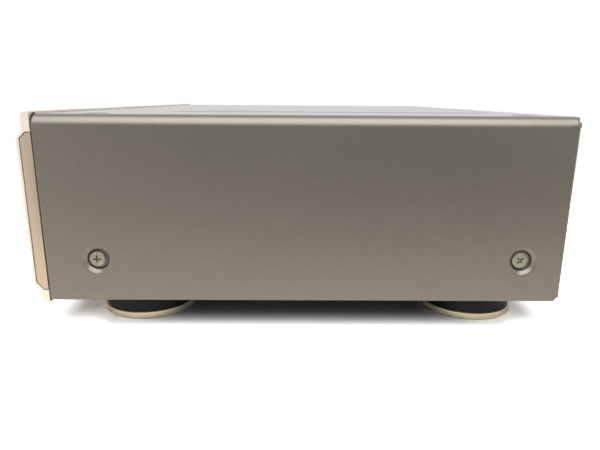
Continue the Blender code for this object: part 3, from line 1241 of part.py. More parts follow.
def pickup_sled():
    """The pickup sled: its body on the two rods, its lens, its rack and the head arm's lugs."""
    left, right = SLOT_X + SLED_LEFT, SLOT_X + SLED_LEFT + SLED_LENGTH
    y, roof = behind(SPINDLE_BACK), above(SLED_ROOF)
    sled = box((left, right), about(y, 2 * SLED_HALF), (roof - SLED_HEIGHT, roof),
               "pickup_sled", BLACK_PLASTIC)
    rear = y + SLED_HALF
    edge = toothed(left, SLED_LENGTH, rear, rear + TOOTH_DEPTH)
    rack = [(right, rear - TOOTH_DEPTH), (left, rear - TOOTH_DEPTH)] + edge
    join(sled, plate(rack, (roof - SLED_HEIGHT + PLAY, roof - PLAY), axis="z"))
    join(sled, rod("z", (SLOT_X + LENS_X, y), roof - SLED_HEIGHT / 2, roof + LENS_HEIGHT,
                   LENS_RADIUS))
    lug_in = ARM_HALF + GAP
    for side in (-1, 1):
        join(sled, box(about(SLOT_X + LUG_X, LUG_SIZE), (y + side * lug_in,
                                                        y + side * (lug_in + LUG_SHEET)),
                       (roof - LUG_SHEET, roof + LUG_SIZE)))
        cut(sled, rod("x", (y + side * ROD_SPREAD, above(ROD_UP)), left - OVERRUN, right + OVERRUN,
                      ROD_RADIUS + GAP, sides=16))
    reach = lug_in + LUG_SHEET + OVERRUN
    cut(sled, rod("y", (SLOT_X + LUG_X, above(ARM_PIN_UP)), y - reach, y + reach,
                  ARM_PIN_RADIUS + GAP, sides=12))
    set_origin(sled, SLOT_X + LENS_X, y, above(ROD_UP))


def head_arm():
    """The magnetic head's arm: pinned to the sled, up beside the holder and over its top."""
    x, y, pin_z = SLOT_X + LUG_X, behind(SPINDLE_BACK), above(ARM_PIN_UP)
    under = above(SLOT_UP + ARM_UP)
    width = about(y, 2 * ARM_HALF)
    arm = box(about(x, ARM_SHEET), width, (pin_z, under + ARM_SHEET), "head_arm", STEEL)
    join(arm, box((x - ARM_REACH, x), width, (under, under + ARM_SHEET)))
    join(arm, box(about(SLOT_X + LENS_X, HEAD_SIZE), about(y, HEAD_SIZE),
                  (under - HEAD_HEIGHT, under + ARM_SHEET / 2)))
    join(arm, rod("y", (x, pin_z), *width, ARM_BARREL_RADIUS, sides=16))
    reach = ARM_HALF + GAP + LUG_SHEET
    join(arm, rod("y", (x, pin_z), y - reach, y + reach, ARM_PIN_RADIUS, sides=12))
    set_origin(arm, x, y, pin_z)


def cam_slider():
    """The loading cam: a slide with two ramps for the holder's pins and a rack along its foot."""
    foot = above(MECH_PLATE + GAP)
    outer, inner = SLOT_X - CAM_OUT, SLOT_X - CAM_IN
    y = (behind(CAM_FRONT), behind(CAM_FRONT + CAM_LENGTH))
    cam = box((outer, inner), y, (foot, above(SLOT_UP + CAM_TOP)), "cam_slider", WHITE_RESIN)
    start = behind(RACK_FRONT)
    tip = outer - RACK_DEPTH
    edge = [(x, along) for along, x in toothed(start, RACK_LENGTH, tip + TOOTH_DEPTH, tip)]
    rack = [(outer + CAM_SHEET / 2, start + RACK_LENGTH), (outer + CAM_SHEET / 2, start)] + edge
    join(cam, plate(rack, (foot, foot + RACK_HEIGHT), axis="z"))
    slope = math.atan2(HOLDER_DROP, CAM_TRAVEL)
    half = HOLDER_PIN_RADIUS + GAP
    length = math.hypot(HOLDER_DROP, CAM_TRAVEL) + 2 * half
    for depth in HOLDER_PINS:
        ramp = box(about(0, CAM_SHEET + 2 * OVERRUN), about(0, length), about(0, 2 * half))
        ramp.rotation_euler.x = slope
        ramp.location = ((outer + inner) / 2, behind(depth - CAM_TRAVEL / 2),
                         above(SLOT_UP - HOLDER_DROP / 2))
        cut(cam, ramp)
    set_origin(cam, outer, behind(CAM_FRONT), foot)


def gears():
    """The gear that drives the sled and the one that drives the loading cam."""
    gear("sled_gear", SLOT_X + SLED_GEAR_X, behind(SLED_GEAR_BACK), SLED_GEAR_UP, SLED_GEAR_RADIUS)
    gear("loading_gear", SLOT_X - LOADING_GEAR_X, behind(LOADING_GEAR_BACK), LOADING_GEAR_UP,
         LOADING_GEAR_RADIUS)


def drive_motors():
    """The two small motors, each with a worm through its wall."""
    face = SLOT_X + SLED_WALL_X - GAP
    across = (behind(SLED_MOTOR_BACK), above(SLED_GEAR_UP))
    motor = rod("x", across, face - MOTOR_LENGTH, face, MOTOR_RADIUS, name="sled_motor",
                finish=BRIGHT_STEEL)
    join(motor, rod("x", across, face - MOTOR_LENGTH / 2, face + WORM_LENGTH, WORM_RADIUS,
                    sides=12))
    face = behind(TAB_BACK + GAP)
    across = (SLOT_X - LOADING_MOTOR_X, above(LOADING_GEAR_UP))
    motor = rod("y", across, face, face + MOTOR_LENGTH, MOTOR_RADIUS, name="loading_motor",
                finish=BRIGHT_STEEL)
    join(motor, rod("y", across, face - WORM_LENGTH, face + MOTOR_LENGTH / 2, WORM_RADIUS,
                    sides=12))


def main_board_corners():
    """Where the main board's standoffs stand."""
    return [(x, y) for x in (MAIN_LEFT + STANDOFF_INSET, MAIN_RIGHT - STANDOFF_INSET)
            for y in (behind(MAIN_FRONT + STANDOFF_INSET), behind(MAIN_BACK - STANDOFF_INSET))]


def main_board():
    """The main board with its smoothing cans, chips and finned heat sink."""
    low = above(CHASSIS_FLOOR + MAIN_LIFT)
    top = low + MAIN_SHEET
    middle = (low + top) / 2
    board = box((MAIN_LEFT, MAIN_RIGHT), (behind(MAIN_FRONT), behind(MAIN_BACK)), (low, top),
                "main_board", BOARD_GREEN)
    edge = CAN_RADIUS + STANDOFF_INSET
    for i in range(CAN_COUNT):
        at = (MAIN_LEFT + edge, behind(MAIN_BACK - 2 * edge - i * CAN_PITCH))
        join(board, rod("z", at, middle, top + CAN_HEIGHT, CAN_RADIUS, sides=16))
    length = (CHIP_COUNT - 1) * CHIP_PITCH
    for i in range(CHIP_COUNT):
        x = (MAIN_LEFT + MAIN_RIGHT - length) / 2 + i * CHIP_PITCH
        join(board, box(about(x, CHIP_SIZE), about(behind(MAIN_FRONT + CHIP_PITCH), CHIP_SIZE),
                        (middle, top + CHIP_HEIGHT)))
    x = (MAIN_LEFT + MAIN_RIGHT) / 2
    y = behind(MAIN_BACK) - 2 * SINK_DEPTH
    sink = (top, top + SINK_HEIGHT)
    join(board, box(about(x, SINK_LENGTH), (y, y + SINK_BASE), (middle, sink[1])))
    pitch = (SINK_LENGTH - SINK_FIN) / (SINK_FINS - 1)
    for i in range(SINK_FINS):
        fin = x + (i - (SINK_FINS - 1) / 2) * pitch
        join(board, box(about(fin, SINK_FIN), (y + SINK_BASE / 2, y + SINK_DEPTH),
                        (sink[0] + SINK_BASE, sink[1] - SINK_FIN)))


def transformer():
    """The mains transformer: a laminated core on its foot, and the coil on its middle leg."""
    x, y, foot = TRANSFORMER_X, behind(TRANSFORMER_BACK), above(CHASSIS_FLOOR + GAP)
    depth = about(y, CORE_DEPTH)
    core = box(about(x, CORE_WIDTH), depth, (foot, foot + CORE_HEIGHT), "transformer_core",
               CORE_IRON)
    join(core, box(about(x, CORE_FOOT_WIDTH), about(y, CORE_DEPTH - GAP),
                   (foot + GAP, foot + CORE_FOOT_HEIGHT)))
    outer = CORE_WIDTH / 2 - CORE_LEG
    window = (foot + CORE_LEG, foot + CORE_HEIGHT - CORE_LEG)
    for side in (-1, 1):
        cut(core, box((x + side * CORE_LEG, x + side * outer),
                      (depth[0] - OVERRUN, depth[1] + OVERRUN), window))
    coil_z = (window[0] + GAP, window[1] - GAP)
    coil = box(about(x, 2 * (outer - GAP)), about(y, CORE_DEPTH + 2 * COIL_PROUD), coil_z,
               "transformer_coil", COIL_TAPE)
    cut(coil, box(about(x, 2 * (CORE_LEG + GAP)), about(y, CORE_DEPTH + 2 * GAP),
                  (coil_z[0] - OVERRUN, coil_z[1] + OVERRUN)))


def terminal(name, x, up, width, height, depth):
    """A terminal block: its flange on the rear panel's face and its body through the panel."""
    face = (behind(REAR_FACE + GAP), behind(REAR_FACE + GAP + TERMINAL_FLANGE))
    block = box(about(x, width + 2 * TERMINAL_EDGE), face, about(above(up), height + 2 * TERMINAL_EDGE),
                name, BLACK_PLASTIC)
    join(block, box(about(x, width), (face[1] - depth, sum(face) / 2), about(above(up), height)))
    return block, face[1]


def ac_inlet():
    """The two-pin mains inlet."""
    z = above(INLET_UP)
    inlet, face = terminal("ac_inlet", INLET_X, INLET_UP, INLET_WIDTH, INLET_HEIGHT, INLET_DEPTH)
    bottom = face - INLET_MOUTH_DEPTH
    cut(inlet, box(about(INLET_X, INLET_MOUTH_WIDTH), (bottom, face + OVERRUN),
                   about(z, INLET_MOUTH_HEIGHT)))
    for x in about(INLET_X, INLET_PIN_PITCH):
        join(inlet, rod("y", (x, z), bottom - OVERRUN, bottom + INLET_PIN_LENGTH,
                        INLET_PIN_RADIUS, sides=12))


def line_jack_places():
    """The x and z of the four line jacks."""
    return [(x, z) for x in about(LINE_X, LINE_PITCH_X) for z in about(above(LINE_UP), LINE_PITCH_Z)]


def line_jack_block():
    """The block of line jacks behind the rear panel, their collars through it."""
    back = behind(REAR_BACK - GAP)
    block = box(about(LINE_X, LINE_PITCH_X + 2 * LINE_BLOCK_EDGE), (back - LINE_BLOCK_DEPTH, back),
                about(above(LINE_UP), LINE_PITCH_Z + 2 * LINE_BLOCK_EDGE), "line_jack_block",
                BLACK_PLASTIC)
    middle, end = back - LINE_BLOCK_DEPTH / 2, behind(COVER_LENGTH + JACK_PROUD)
    for at in line_jack_places():
        collar = rod("y", at, middle, behind(REAR_FACE + LINE_COLLAR_PROUD), LINE_COLLAR_RADIUS)
        barrel = rod("y", at, middle + OVERRUN, end, LINE_BARREL_RADIUS, sides=12)
        bore = rod("y", at, end - LINE_BORE_DEPTH, end + OVERRUN, LINE_BORE_RADIUS, sides=12)
        cut(join(block, collar, barrel), bore)


def optical_block():
    """The block of two optical ports, each with a sprung shutter in its mouth."""
    z = above(OPTICAL_UP)
    block, face = terminal("optical_block", OPTICAL_X, OPTICAL_UP, OPTICAL_WIDTH, OPTICAL_HEIGHT,
                           OPTICAL_DEPTH)
    axis_y = face - SHUTTER_SET_IN - SHUTTER_SHEET / 2
    axis_z = z + PORT_SIZE / 2 + SHUTTER_PIN_UP
    low, high = about(z, PORT_SIZE)
    for name, x in PORT_PLACES.items():
        width = about(x, PORT_SIZE)
        mouth = box(width, (axis_y, face + OVERRUN), (low, high))
        room = box(width, (face - PORT_DEPTH, axis_y + SHUTTER_PIN_RADIUS + GAP),
                   (low, high + PORT_RAISE))
        pins = about(x, PORT_SIZE + 2 * SHUTTER_PIN_LENGTH)
        holes = rod("x", (axis_y, axis_z), pins[0] - GAP, pins[1] + GAP, SHUTTER_PIN_RADIUS + GAP,
                    sides=12)
        cut(block, mouth, room, holes)
        flap = box(about(x, PORT_SIZE - 2 * GAP), about(axis_y, SHUTTER_SHEET),
                   (low + GAP, axis_z), name, BLACK_PLASTIC)
        join(flap, rod("x", (axis_y, axis_z), *pins, SHUTTER_PIN_RADIUS, sides=12))
        set_origin(flap, x, axis_y, axis_z)


empty_scene()
PARTS = new_collection("minidisc_deck")
CUTTERS = new_collection("cutters")
top_cover()
side_screws()
bottom_chassis()
rear_panel()
feet()
front_panel()
end_caps()
front_subframe()
control_board()
buttons()
display()
slot_bezel()
slot_door()
jog()
level_knobs()
phones_jack()
timer_switch()
mechanism_bracket()
mechanism_chassis()
guide_rods()
disc_holder()
spindle()
pickup_sled()
head_arm()
cam_slider()
gears()
drive_motors()
main_board()
transformer()
ac_inlet()
line_jack_block()
optical_block()
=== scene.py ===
"""A full-width minidisc deck on a white studio floor, seen from its right side.

Metres, +Z up. The deck's front faces -Y, and +X is to the right seen from the front.
"""

import json
import math

import bmesh
import bpy
from mathutils import Matrix, Vector


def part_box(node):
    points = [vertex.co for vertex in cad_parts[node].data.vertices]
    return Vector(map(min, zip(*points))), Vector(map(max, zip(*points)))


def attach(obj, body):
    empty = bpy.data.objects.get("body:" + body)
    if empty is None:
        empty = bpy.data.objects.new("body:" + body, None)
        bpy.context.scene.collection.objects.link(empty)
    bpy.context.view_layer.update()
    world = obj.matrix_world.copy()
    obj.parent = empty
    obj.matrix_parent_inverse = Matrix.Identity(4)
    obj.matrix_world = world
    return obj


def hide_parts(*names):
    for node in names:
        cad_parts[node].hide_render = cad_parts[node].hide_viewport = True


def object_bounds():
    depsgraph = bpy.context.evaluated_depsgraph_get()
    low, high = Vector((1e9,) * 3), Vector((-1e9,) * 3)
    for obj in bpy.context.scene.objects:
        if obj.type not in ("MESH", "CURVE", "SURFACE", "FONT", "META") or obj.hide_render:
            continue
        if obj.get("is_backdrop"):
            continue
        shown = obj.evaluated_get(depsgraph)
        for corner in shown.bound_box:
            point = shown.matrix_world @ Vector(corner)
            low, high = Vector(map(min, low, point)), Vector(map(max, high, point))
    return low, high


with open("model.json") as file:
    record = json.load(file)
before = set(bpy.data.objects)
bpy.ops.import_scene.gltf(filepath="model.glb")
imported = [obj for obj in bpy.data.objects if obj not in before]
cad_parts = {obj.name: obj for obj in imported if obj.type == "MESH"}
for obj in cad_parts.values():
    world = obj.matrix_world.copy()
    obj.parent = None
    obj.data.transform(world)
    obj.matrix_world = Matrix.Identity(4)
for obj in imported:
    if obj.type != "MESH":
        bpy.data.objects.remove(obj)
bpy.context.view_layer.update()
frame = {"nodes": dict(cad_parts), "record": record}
MM = 0.001

# Camera
# A phone held just above the deck's top, in front of the middle of its right side.
CAMERA_PLACE = Vector((0.49783, 0.00222, 0.13265))
CAMERA_YAW, CAMERA_PITCH, CAMERA_ROLL = (math.radians(a) for a in (-0.399, 13.916, 0.363))
CAMERA_LENS, CAMERA_SENSOR, CAMERA_NEAR = 30.54, 36, 0.01

camera = bpy.data.objects.new("camera", bpy.data.cameras.new("camera"))
camera.data.lens, camera.data.sensor_width = CAMERA_LENS, CAMERA_SENSOR
camera.data.clip_start = CAMERA_NEAR
ahead = Vector((-math.cos(CAMERA_PITCH) * math.cos(CAMERA_YAW),
                -math.cos(CAMERA_PITCH) * math.sin(CAMERA_YAW), -math.sin(CAMERA_PITCH)))
level = ahead.cross(Vector((0, 0, 1))).normalized()
upright = level.cross(ahead)
across = math.cos(CAMERA_ROLL) * level + math.sin(CAMERA_ROLL) * upright
along = math.cos(CAMERA_ROLL) * upright - math.sin(CAMERA_ROLL) * level
camera.matrix_world = (Matrix.Translation(CAMERA_PLACE)
                       @ Matrix((across, along, -ahead)).transposed().to_4x4())
bpy.context.scene.collection.objects.link(camera)
bpy.context.scene.camera = camera
bpy.context.scene.view_settings.view_transform = 'Standard'

# Studio
# A white table under one large soft lamp, in a pale room that is darker behind the photographer.
# Camera, mirror and glass rays see the floor and the room apart from what lights the deck.
# To the camera the floor has a painted shadow in and round the deck's footprint; to mirrors it
# has painted shade under the deck and near a point in front of it, and a painted warm tint.
FLOOR_SIZE = 9.0
LAMP_PLACE, LAMP_WIDE, LAMP_DEEP, LAMP_POWER = Vector((0.90, 0, 1.30)), 2.1, 1.7, 30.6
LAMP_AIM = Vector((0.1, 0, 0))
# Painted shadow on the floor: the middle and half size of the box round the deck that it darkens
PAINTED_SHADOW_MIDDLE, PAINTED_SHADOW_HALF = (0, 0.008, 0), (0.215, 0.108, 0)
# The point near which the floor shows painted shade to mirrors
PAINTED_SHADE_POINT = (1.15, 0.10, 0)
# Each soft step: where it starts and ends, and its values there
PAINTED_SHADOW_SIDES, PAINTED_SHADOW_ENDS = (-0.024, 0.014, 0, 1), (-0.040, 0.012, 0, 0.6)
PAINTED_SHADOW_END_RIMS = (-0.008, 0.028, 0, 1.2)
# The floor whitens far away; to mirrors its painted shade lightens away from that point
FAR_WHITE, PAINTED_REFLECTION_GREY = (0.5, 0.9, 0, 1), (0.45, 1.05, 0.22, 1.5)
WALL_AHEAD, WALL_HEIGHT = (0.2, 0.95, 1.5, 0.62), (0.02, 0.5, 1.1, 0.62)
PAPER_GREY, PAINTED_REFLECTION_TINT = (0.85, 0.85, 0.85, 1), (1.04, 1.0, 0.94)
# Tones of the floor's painted shadow, and how dark its painted shade under the deck is to mirrors
PAINTED_SHADOW_TONE, PAINTED_LIT_TONE, PAINTED_MIRROR_SHADE = 0.24, 1.55, 0.06
WALL_LIGHT, WALL_TINT = 0.18, (0.97, 0.98, 1.0, 1)


def feed(node, inputs):
    """Puts values, or the outputs of other nodes, on a node's inputs."""
    for socket, value in dict(inputs).items():
        if isinstance(value, bpy.types.NodeSocket):
            node.id_data.links.new(value, node.inputs[socket])
        else:
            node.inputs[socket].default_value = value
    return node


def new_node(tree, kind, inputs=(), **settings):
    """A shader node with some of its properties and inputs set."""
    node = tree.nodes.new(kind)
    for name, value in settings.items():
        setattr(node, name, value)
    return feed(node, inputs)


def maths(tree, operation, *values):
    """What a Math node makes of some values."""
    return new_node(tree, 'ShaderNodeMath', enumerate(values), operation=operation).outputs[0]


def vectors(tree, operation, *values):
    """What a Vector Math node makes of some vectors."""
    node = new_node(tree, 'ShaderNodeVectorMath', enumerate(values), operation=operation)
    return node.outputs["Value" if operation in ('DISTANCE', 'LENGTH') else "Vector"]


def tinted(tree, colour, shade):
    """A colour made lighter or darker by a shade."""
    return new_node(tree, 'ShaderNodeVectorMath', {0: colour, "Scale": shade},
                    operation='SCALE').outputs["Vector"]


def ramp(tree, value, start, end, low, high):
    """A soft step of a value, from low at start to high at end."""
    return new_node(tree, 'ShaderNodeMapRange', {
        "Value": value, "From Min": start, "From Max": end, "To Min": low, "To Max": high,
    }, interpolation_type='SMOOTHSTEP').outputs["Result"]


def mixed(tree, mask, first, second):
    """Two shaders mixed by a mask."""
    return new_node(tree, 'ShaderNodeMixShader', {
        "Fac": mask, 1: first.outputs[0], 2: second.outputs[0]})


def own_place(tree):
    """A point's place on its own object."""
    return new_node(tree, 'ShaderNodeTexCoord').outputs["Object"]


def out_of_painted_shadow(tree):
    """How far a point of the floor is out of the deck's painted shadow, from none to all of it."""
    from_middle = vectors(tree, 'SUBTRACT', own_place(tree), PAINTED_SHADOW_MIDDLE)
    beyond = vectors(tree, 'SUBTRACT', vectors(tree, 'ABSOLUTE', from_middle), PAINTED_SHADOW_HALF)
    parts = new_node(tree, 'ShaderNodeSeparateXYZ', {0: beyond}).outputs
    ends = maths(tree, 'MAXIMUM', ramp(tree, parts["Y"], *PAINTED_SHADOW_ENDS),
                 ramp(tree, parts["Y"], *PAINTED_SHADOW_END_RIMS))
    return maths(tree, 'MAXIMUM', ramp(tree, parts["X"], *PAINTED_SHADOW_SIDES), ends)


def paper_finish():
    """White paper: it bounces light, shows white with its shadows, and is whiter far away.

    To the camera it has a painted shadow in and round the deck's footprint; to mirrors it has
    painted shade under the deck and near a point in front of it, and a painted warm tint.
    """
    paper = bpy.data.materials.new("studio_paper")
    paper.use_nodes = True
    tree = paper.node_tree
    tree.nodes.clear()
    rays = new_node(tree, 'ShaderNodeLightPath').outputs
    plain = new_node(tree, 'ShaderNodeBsdfDiffuse', {"Color": PAPER_GREY})
    painted_lit = out_of_painted_shadow(tree)
    # Painted shadow: the floor's colour to the camera is darkened in and round the deck's footprint
    shown = new_node(tree, 'ShaderNodeBsdfDiffuse', {
        "Color": maths(tree, 'MULTIPLY_ADD', painted_lit, PAINTED_LIT_TONE, PAINTED_SHADOW_TONE)})
    far = ramp(tree, vectors(tree, 'DISTANCE', own_place(tree), (0, 0, 0)), *FAR_WHITE)
    seen = mixed(tree, far, shown, new_node(tree, 'ShaderNodeEmission'))
    # Painted reflection: to mirrors the floor is darker near a point in front of the deck and under it,
    # and warm-tinted
    grey = ramp(tree, vectors(tree, 'DISTANCE', own_place(tree), PAINTED_SHADE_POINT), *PAINTED_REFLECTION_GREY)
    grey = maths(tree, 'MULTIPLY', grey, ramp(tree, painted_lit, 0, 1, PAINTED_MIRROR_SHADE, 1))
    mirrored = new_node(tree, 'ShaderNodeBsdfDiffuse', {"Color": tinted(tree, PAINTED_REFLECTION_TINT, grey)})
    seen = mixed(tree, rays["Is Glossy Ray"], seen, mirrored)
    mask = maths(tree, 'MAXIMUM', rays["Is Camera Ray"],
                 maths(tree, 'MAXIMUM', rays["Is Transmission Ray"], rays["Is Glossy Ray"]))
    new_node(tree, 'ShaderNodeOutputMaterial', {
        "Surface": mixed(tree, mask, plain, seen).outputs[0]})
    return paper


def light_room():
    """The room's walls: white to the camera, and a dim soft light from all round."""
    world = bpy.data.worlds.new("studio_room")
    bpy.context.scene.world = world
    world.use_nodes = True
    tree = world.node_tree
    tree.nodes.clear()
    rays = new_node(tree, 'ShaderNodeLightPath').outputs
    direction = new_node(tree, 'ShaderNodeTexCoord').outputs["Generated"]
    parts = new_node(tree, 'ShaderNodeSeparateXYZ', {0: direction}).outputs
    soft = new_node(tree, 'ShaderNodeBackground', {"Strength": WALL_LIGHT})
    shade = maths(tree, 'MULTIPLY', ramp(tree, parts["X"], *WALL_AHEAD),
                  ramp(tree, parts["Z"], *WALL_HEIGHT))
    mirrored = new_node(tree, 'ShaderNodeBackground', {"Color": WALL_TINT, "Strength": shade})
    white = new_node(tree, 'ShaderNodeBackground', {"Color": (1, 1, 1, 1)})
    clear = maths(tree, 'MAXIMUM', rays["Is Camera Ray"], rays["Is Transmission Ray"])
    unseen = mixed(tree, rays["Is Glossy Ray"], soft, mirrored)
    new_node(tree, 'ShaderNodeOutputWorld', {"Surface": mixed(tree, clear, unseen, white).outputs[0]})


bm = bmesh.new()
bmesh.ops.create_grid(bm, x_segments=1, y_segments=1, size=FLOOR_SIZE / 2)
mesh = bpy.data.meshes.new("studio_floor")
bm.to_mesh(mesh)
bm.free()
mesh.materials.append(paper_finish())
floor = bpy.data.objects.new("studio_floor", mesh)
bpy.context.scene.collection.objects.link(floor)
floor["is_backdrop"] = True

lamp = bpy.data.lights.new("overhead_lamp", 'AREA')
lamp.shape = 'RECTANGLE'
lamp.size, lamp.size_y = LAMP_WIDE, LAMP_DEEP
lamp.energy = LAMP_POWER
hung = bpy.data.objects.new("overhead_lamp", lamp)
hung.location = LAMP_PLACE
hung.rotation_euler = (LAMP_AIM - LAMP_PLACE).to_track_quat('-Z', 'Y').to_euler()
bpy.context.scene.collection.objects.link(hung)
light_room()

# Top cover
# One steel sheet, 1 mm, folded down both sides, in along the foot and at the rear, with a raised
# plateau and pressed dimples for its screws. It is painted a warm grey with a fine metal fleck.
COVER_LOW, COVER_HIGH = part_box("top_cover")
FRONT_Y, REAR_Y = COVER_LOW.y, COVER_HIGH.y
SIDE_X, SILL_Z = COVER_HIGH.x, COVER_LOW.z
PLATEAU_RISE = 0.8 * MM
ROOF_Z = COVER_HIGH.z - PLATEAU_RISE
COVER_SHEET = 1 * MM
COVER_BEND, SILL_BEND, SILL_LIP = 6.4 * MM, 1.3 * MM, 6 * MM
BEND_STEPS, FOLD_STEPS = 12, 5
PLATEAU_SIDE, PLATEAU_FRONT, PLATEAU_REAR = 60 * MM, 60 * MM, 24 * MM
PLATEAU_ROUND, PLATEAU_STEPS = 7 * MM, 6
PLATEAU_PROFILE = ((1.0 * MM, 0.06 * MM), (2.2 * MM, 0.34 * MM), (1.0 * MM, 0.06 * MM))
SCREW_FRONT, SCREW_REAR = 29.0 * MM, 276.9 * MM
SCREW_UP = 25.0 * MM
TOP_SCREW_IN = 18 * MM
DIMPLE_FRAME, TOP_DIMPLE_FRAME = 12 * MM, 8.7 * MM
DIMPLE_PROFILE = ((8.9, 0), (8.6, 0.05), (8.25, 0.17), (7.9, 0.35), (6.4, 1.45), (6.1, 1.8),
                  (5.95, 2.4), (5.6, 3.0), (5.2, 3.4), (4.95, 3.5))
TOP_DIMPLE_PROFILE = ((8.4, 0), (8.1, 0.05), (7.8, 0.17), (7.5, 0.35), (5.9, 1.35), (5.6, 1.6),
                      (5.35, 2.1), (5.2, 2.5), (4.95, 2.6))
REAR_FOLD, REAR_BEND, REAR_STRIP = 10 * MM, 1.1 * MM, 7 * MM
FOLD_FOOT, FOLD_HEAD = 2.5 * MM, 101.6 * MM
COVER_REACH, CORNER_CUT, EDGE_BAND = 0.3 * MM, 1.6 * MM, 0.4 * MM
NOTCH_DEPTH, NICK_FOOT, NICK_HEAD = 1.0 * MM, 1.4 * MM, 3.2 * MM
COVER_GREY, SMUDGE_DULLS = (0.214, 0.194, 0.163), 0.25
NEAR, WELD = 1e-6, 1e-7
HOLE_POINTS, HOLE_RIM = 48, 0.05 * MM


def face_at(bm, point):
    """The flat face that a point lies in."""
    bm.normal_update()
    return next(face for face in bm.faces
                if abs((point - face.verts[0].co).dot(face.normal)) < NEAR
                and bmesh.geometry.intersect_face_point(face, point))


def frame_cell(bm, middle, reach):
    """Cuts a rectangle out of the flat face round a point, reach being half its size each way."""
    for axis in range(3):
        for side in (-1, 1):
            if reach[axis]:
                face = face_at(bm, middle)
                normal = Vector((0, 0, 0))
                normal[axis] = 1
                bmesh.ops.bisect_plane(bm, geom=[face, *face.edges, *face.verts], dist=WELD,
                                       plane_co=middle + side * reach[axis] * normal,
                                       plane_no=normal)
    return face_at(bm, middle)


def round_cell(bm, face, middle, radius):
    """Makes the inside of a framed cell round, and returns the round face."""
    bmesh.ops.bisect_edges(bm, edges=face.edges[:], cuts=HOLE_POINTS // 4 - 1)
    bmesh.ops.inset_individual(bm, faces=[face], thickness=HOLE_RIM)
    for vert in face.verts:
        vert.co = middle + (vert.co - middle).normalized() * radius
    bm.normal_update()
    return face


def press_in(bm, face, profile):
    """Presses a round face in along (radius, depth) pairs in millimetres, from the rim inwards."""
    for (radius, depth), (inner, deeper) in zip(profile, profile[1:]):
        bmesh.ops.inset_individual(bm, faces=[face], thickness=(radius - inner) * MM,
                                   depth=(depth - deeper) * MM)


def soften(bm, edges, radius, segments=3):
    """Rounds some edges."""
    bmesh.ops.bevel(bm, geom=edges, offset=radius, segments=segments, profile=0.5,
                    affect='EDGES', material=-1)
    return bm


def round_corners(bm, corners, radius, segments=5):
    """Rounds some corners of a flat face."""
    bmesh.ops.bevel(bm, geom=corners, offset=radius, segments=segments, profile=0.5,
                    affect='VERTICES', material=-1)


def shift_new(bm, extruded, shift):
    """Moves what an extrusion has made."""
    bmesh.ops.translate(bm, vec=shift, verts=[
        item for item in extruded["geom"] if isinstance(item, bmesh.types.BMVert)])


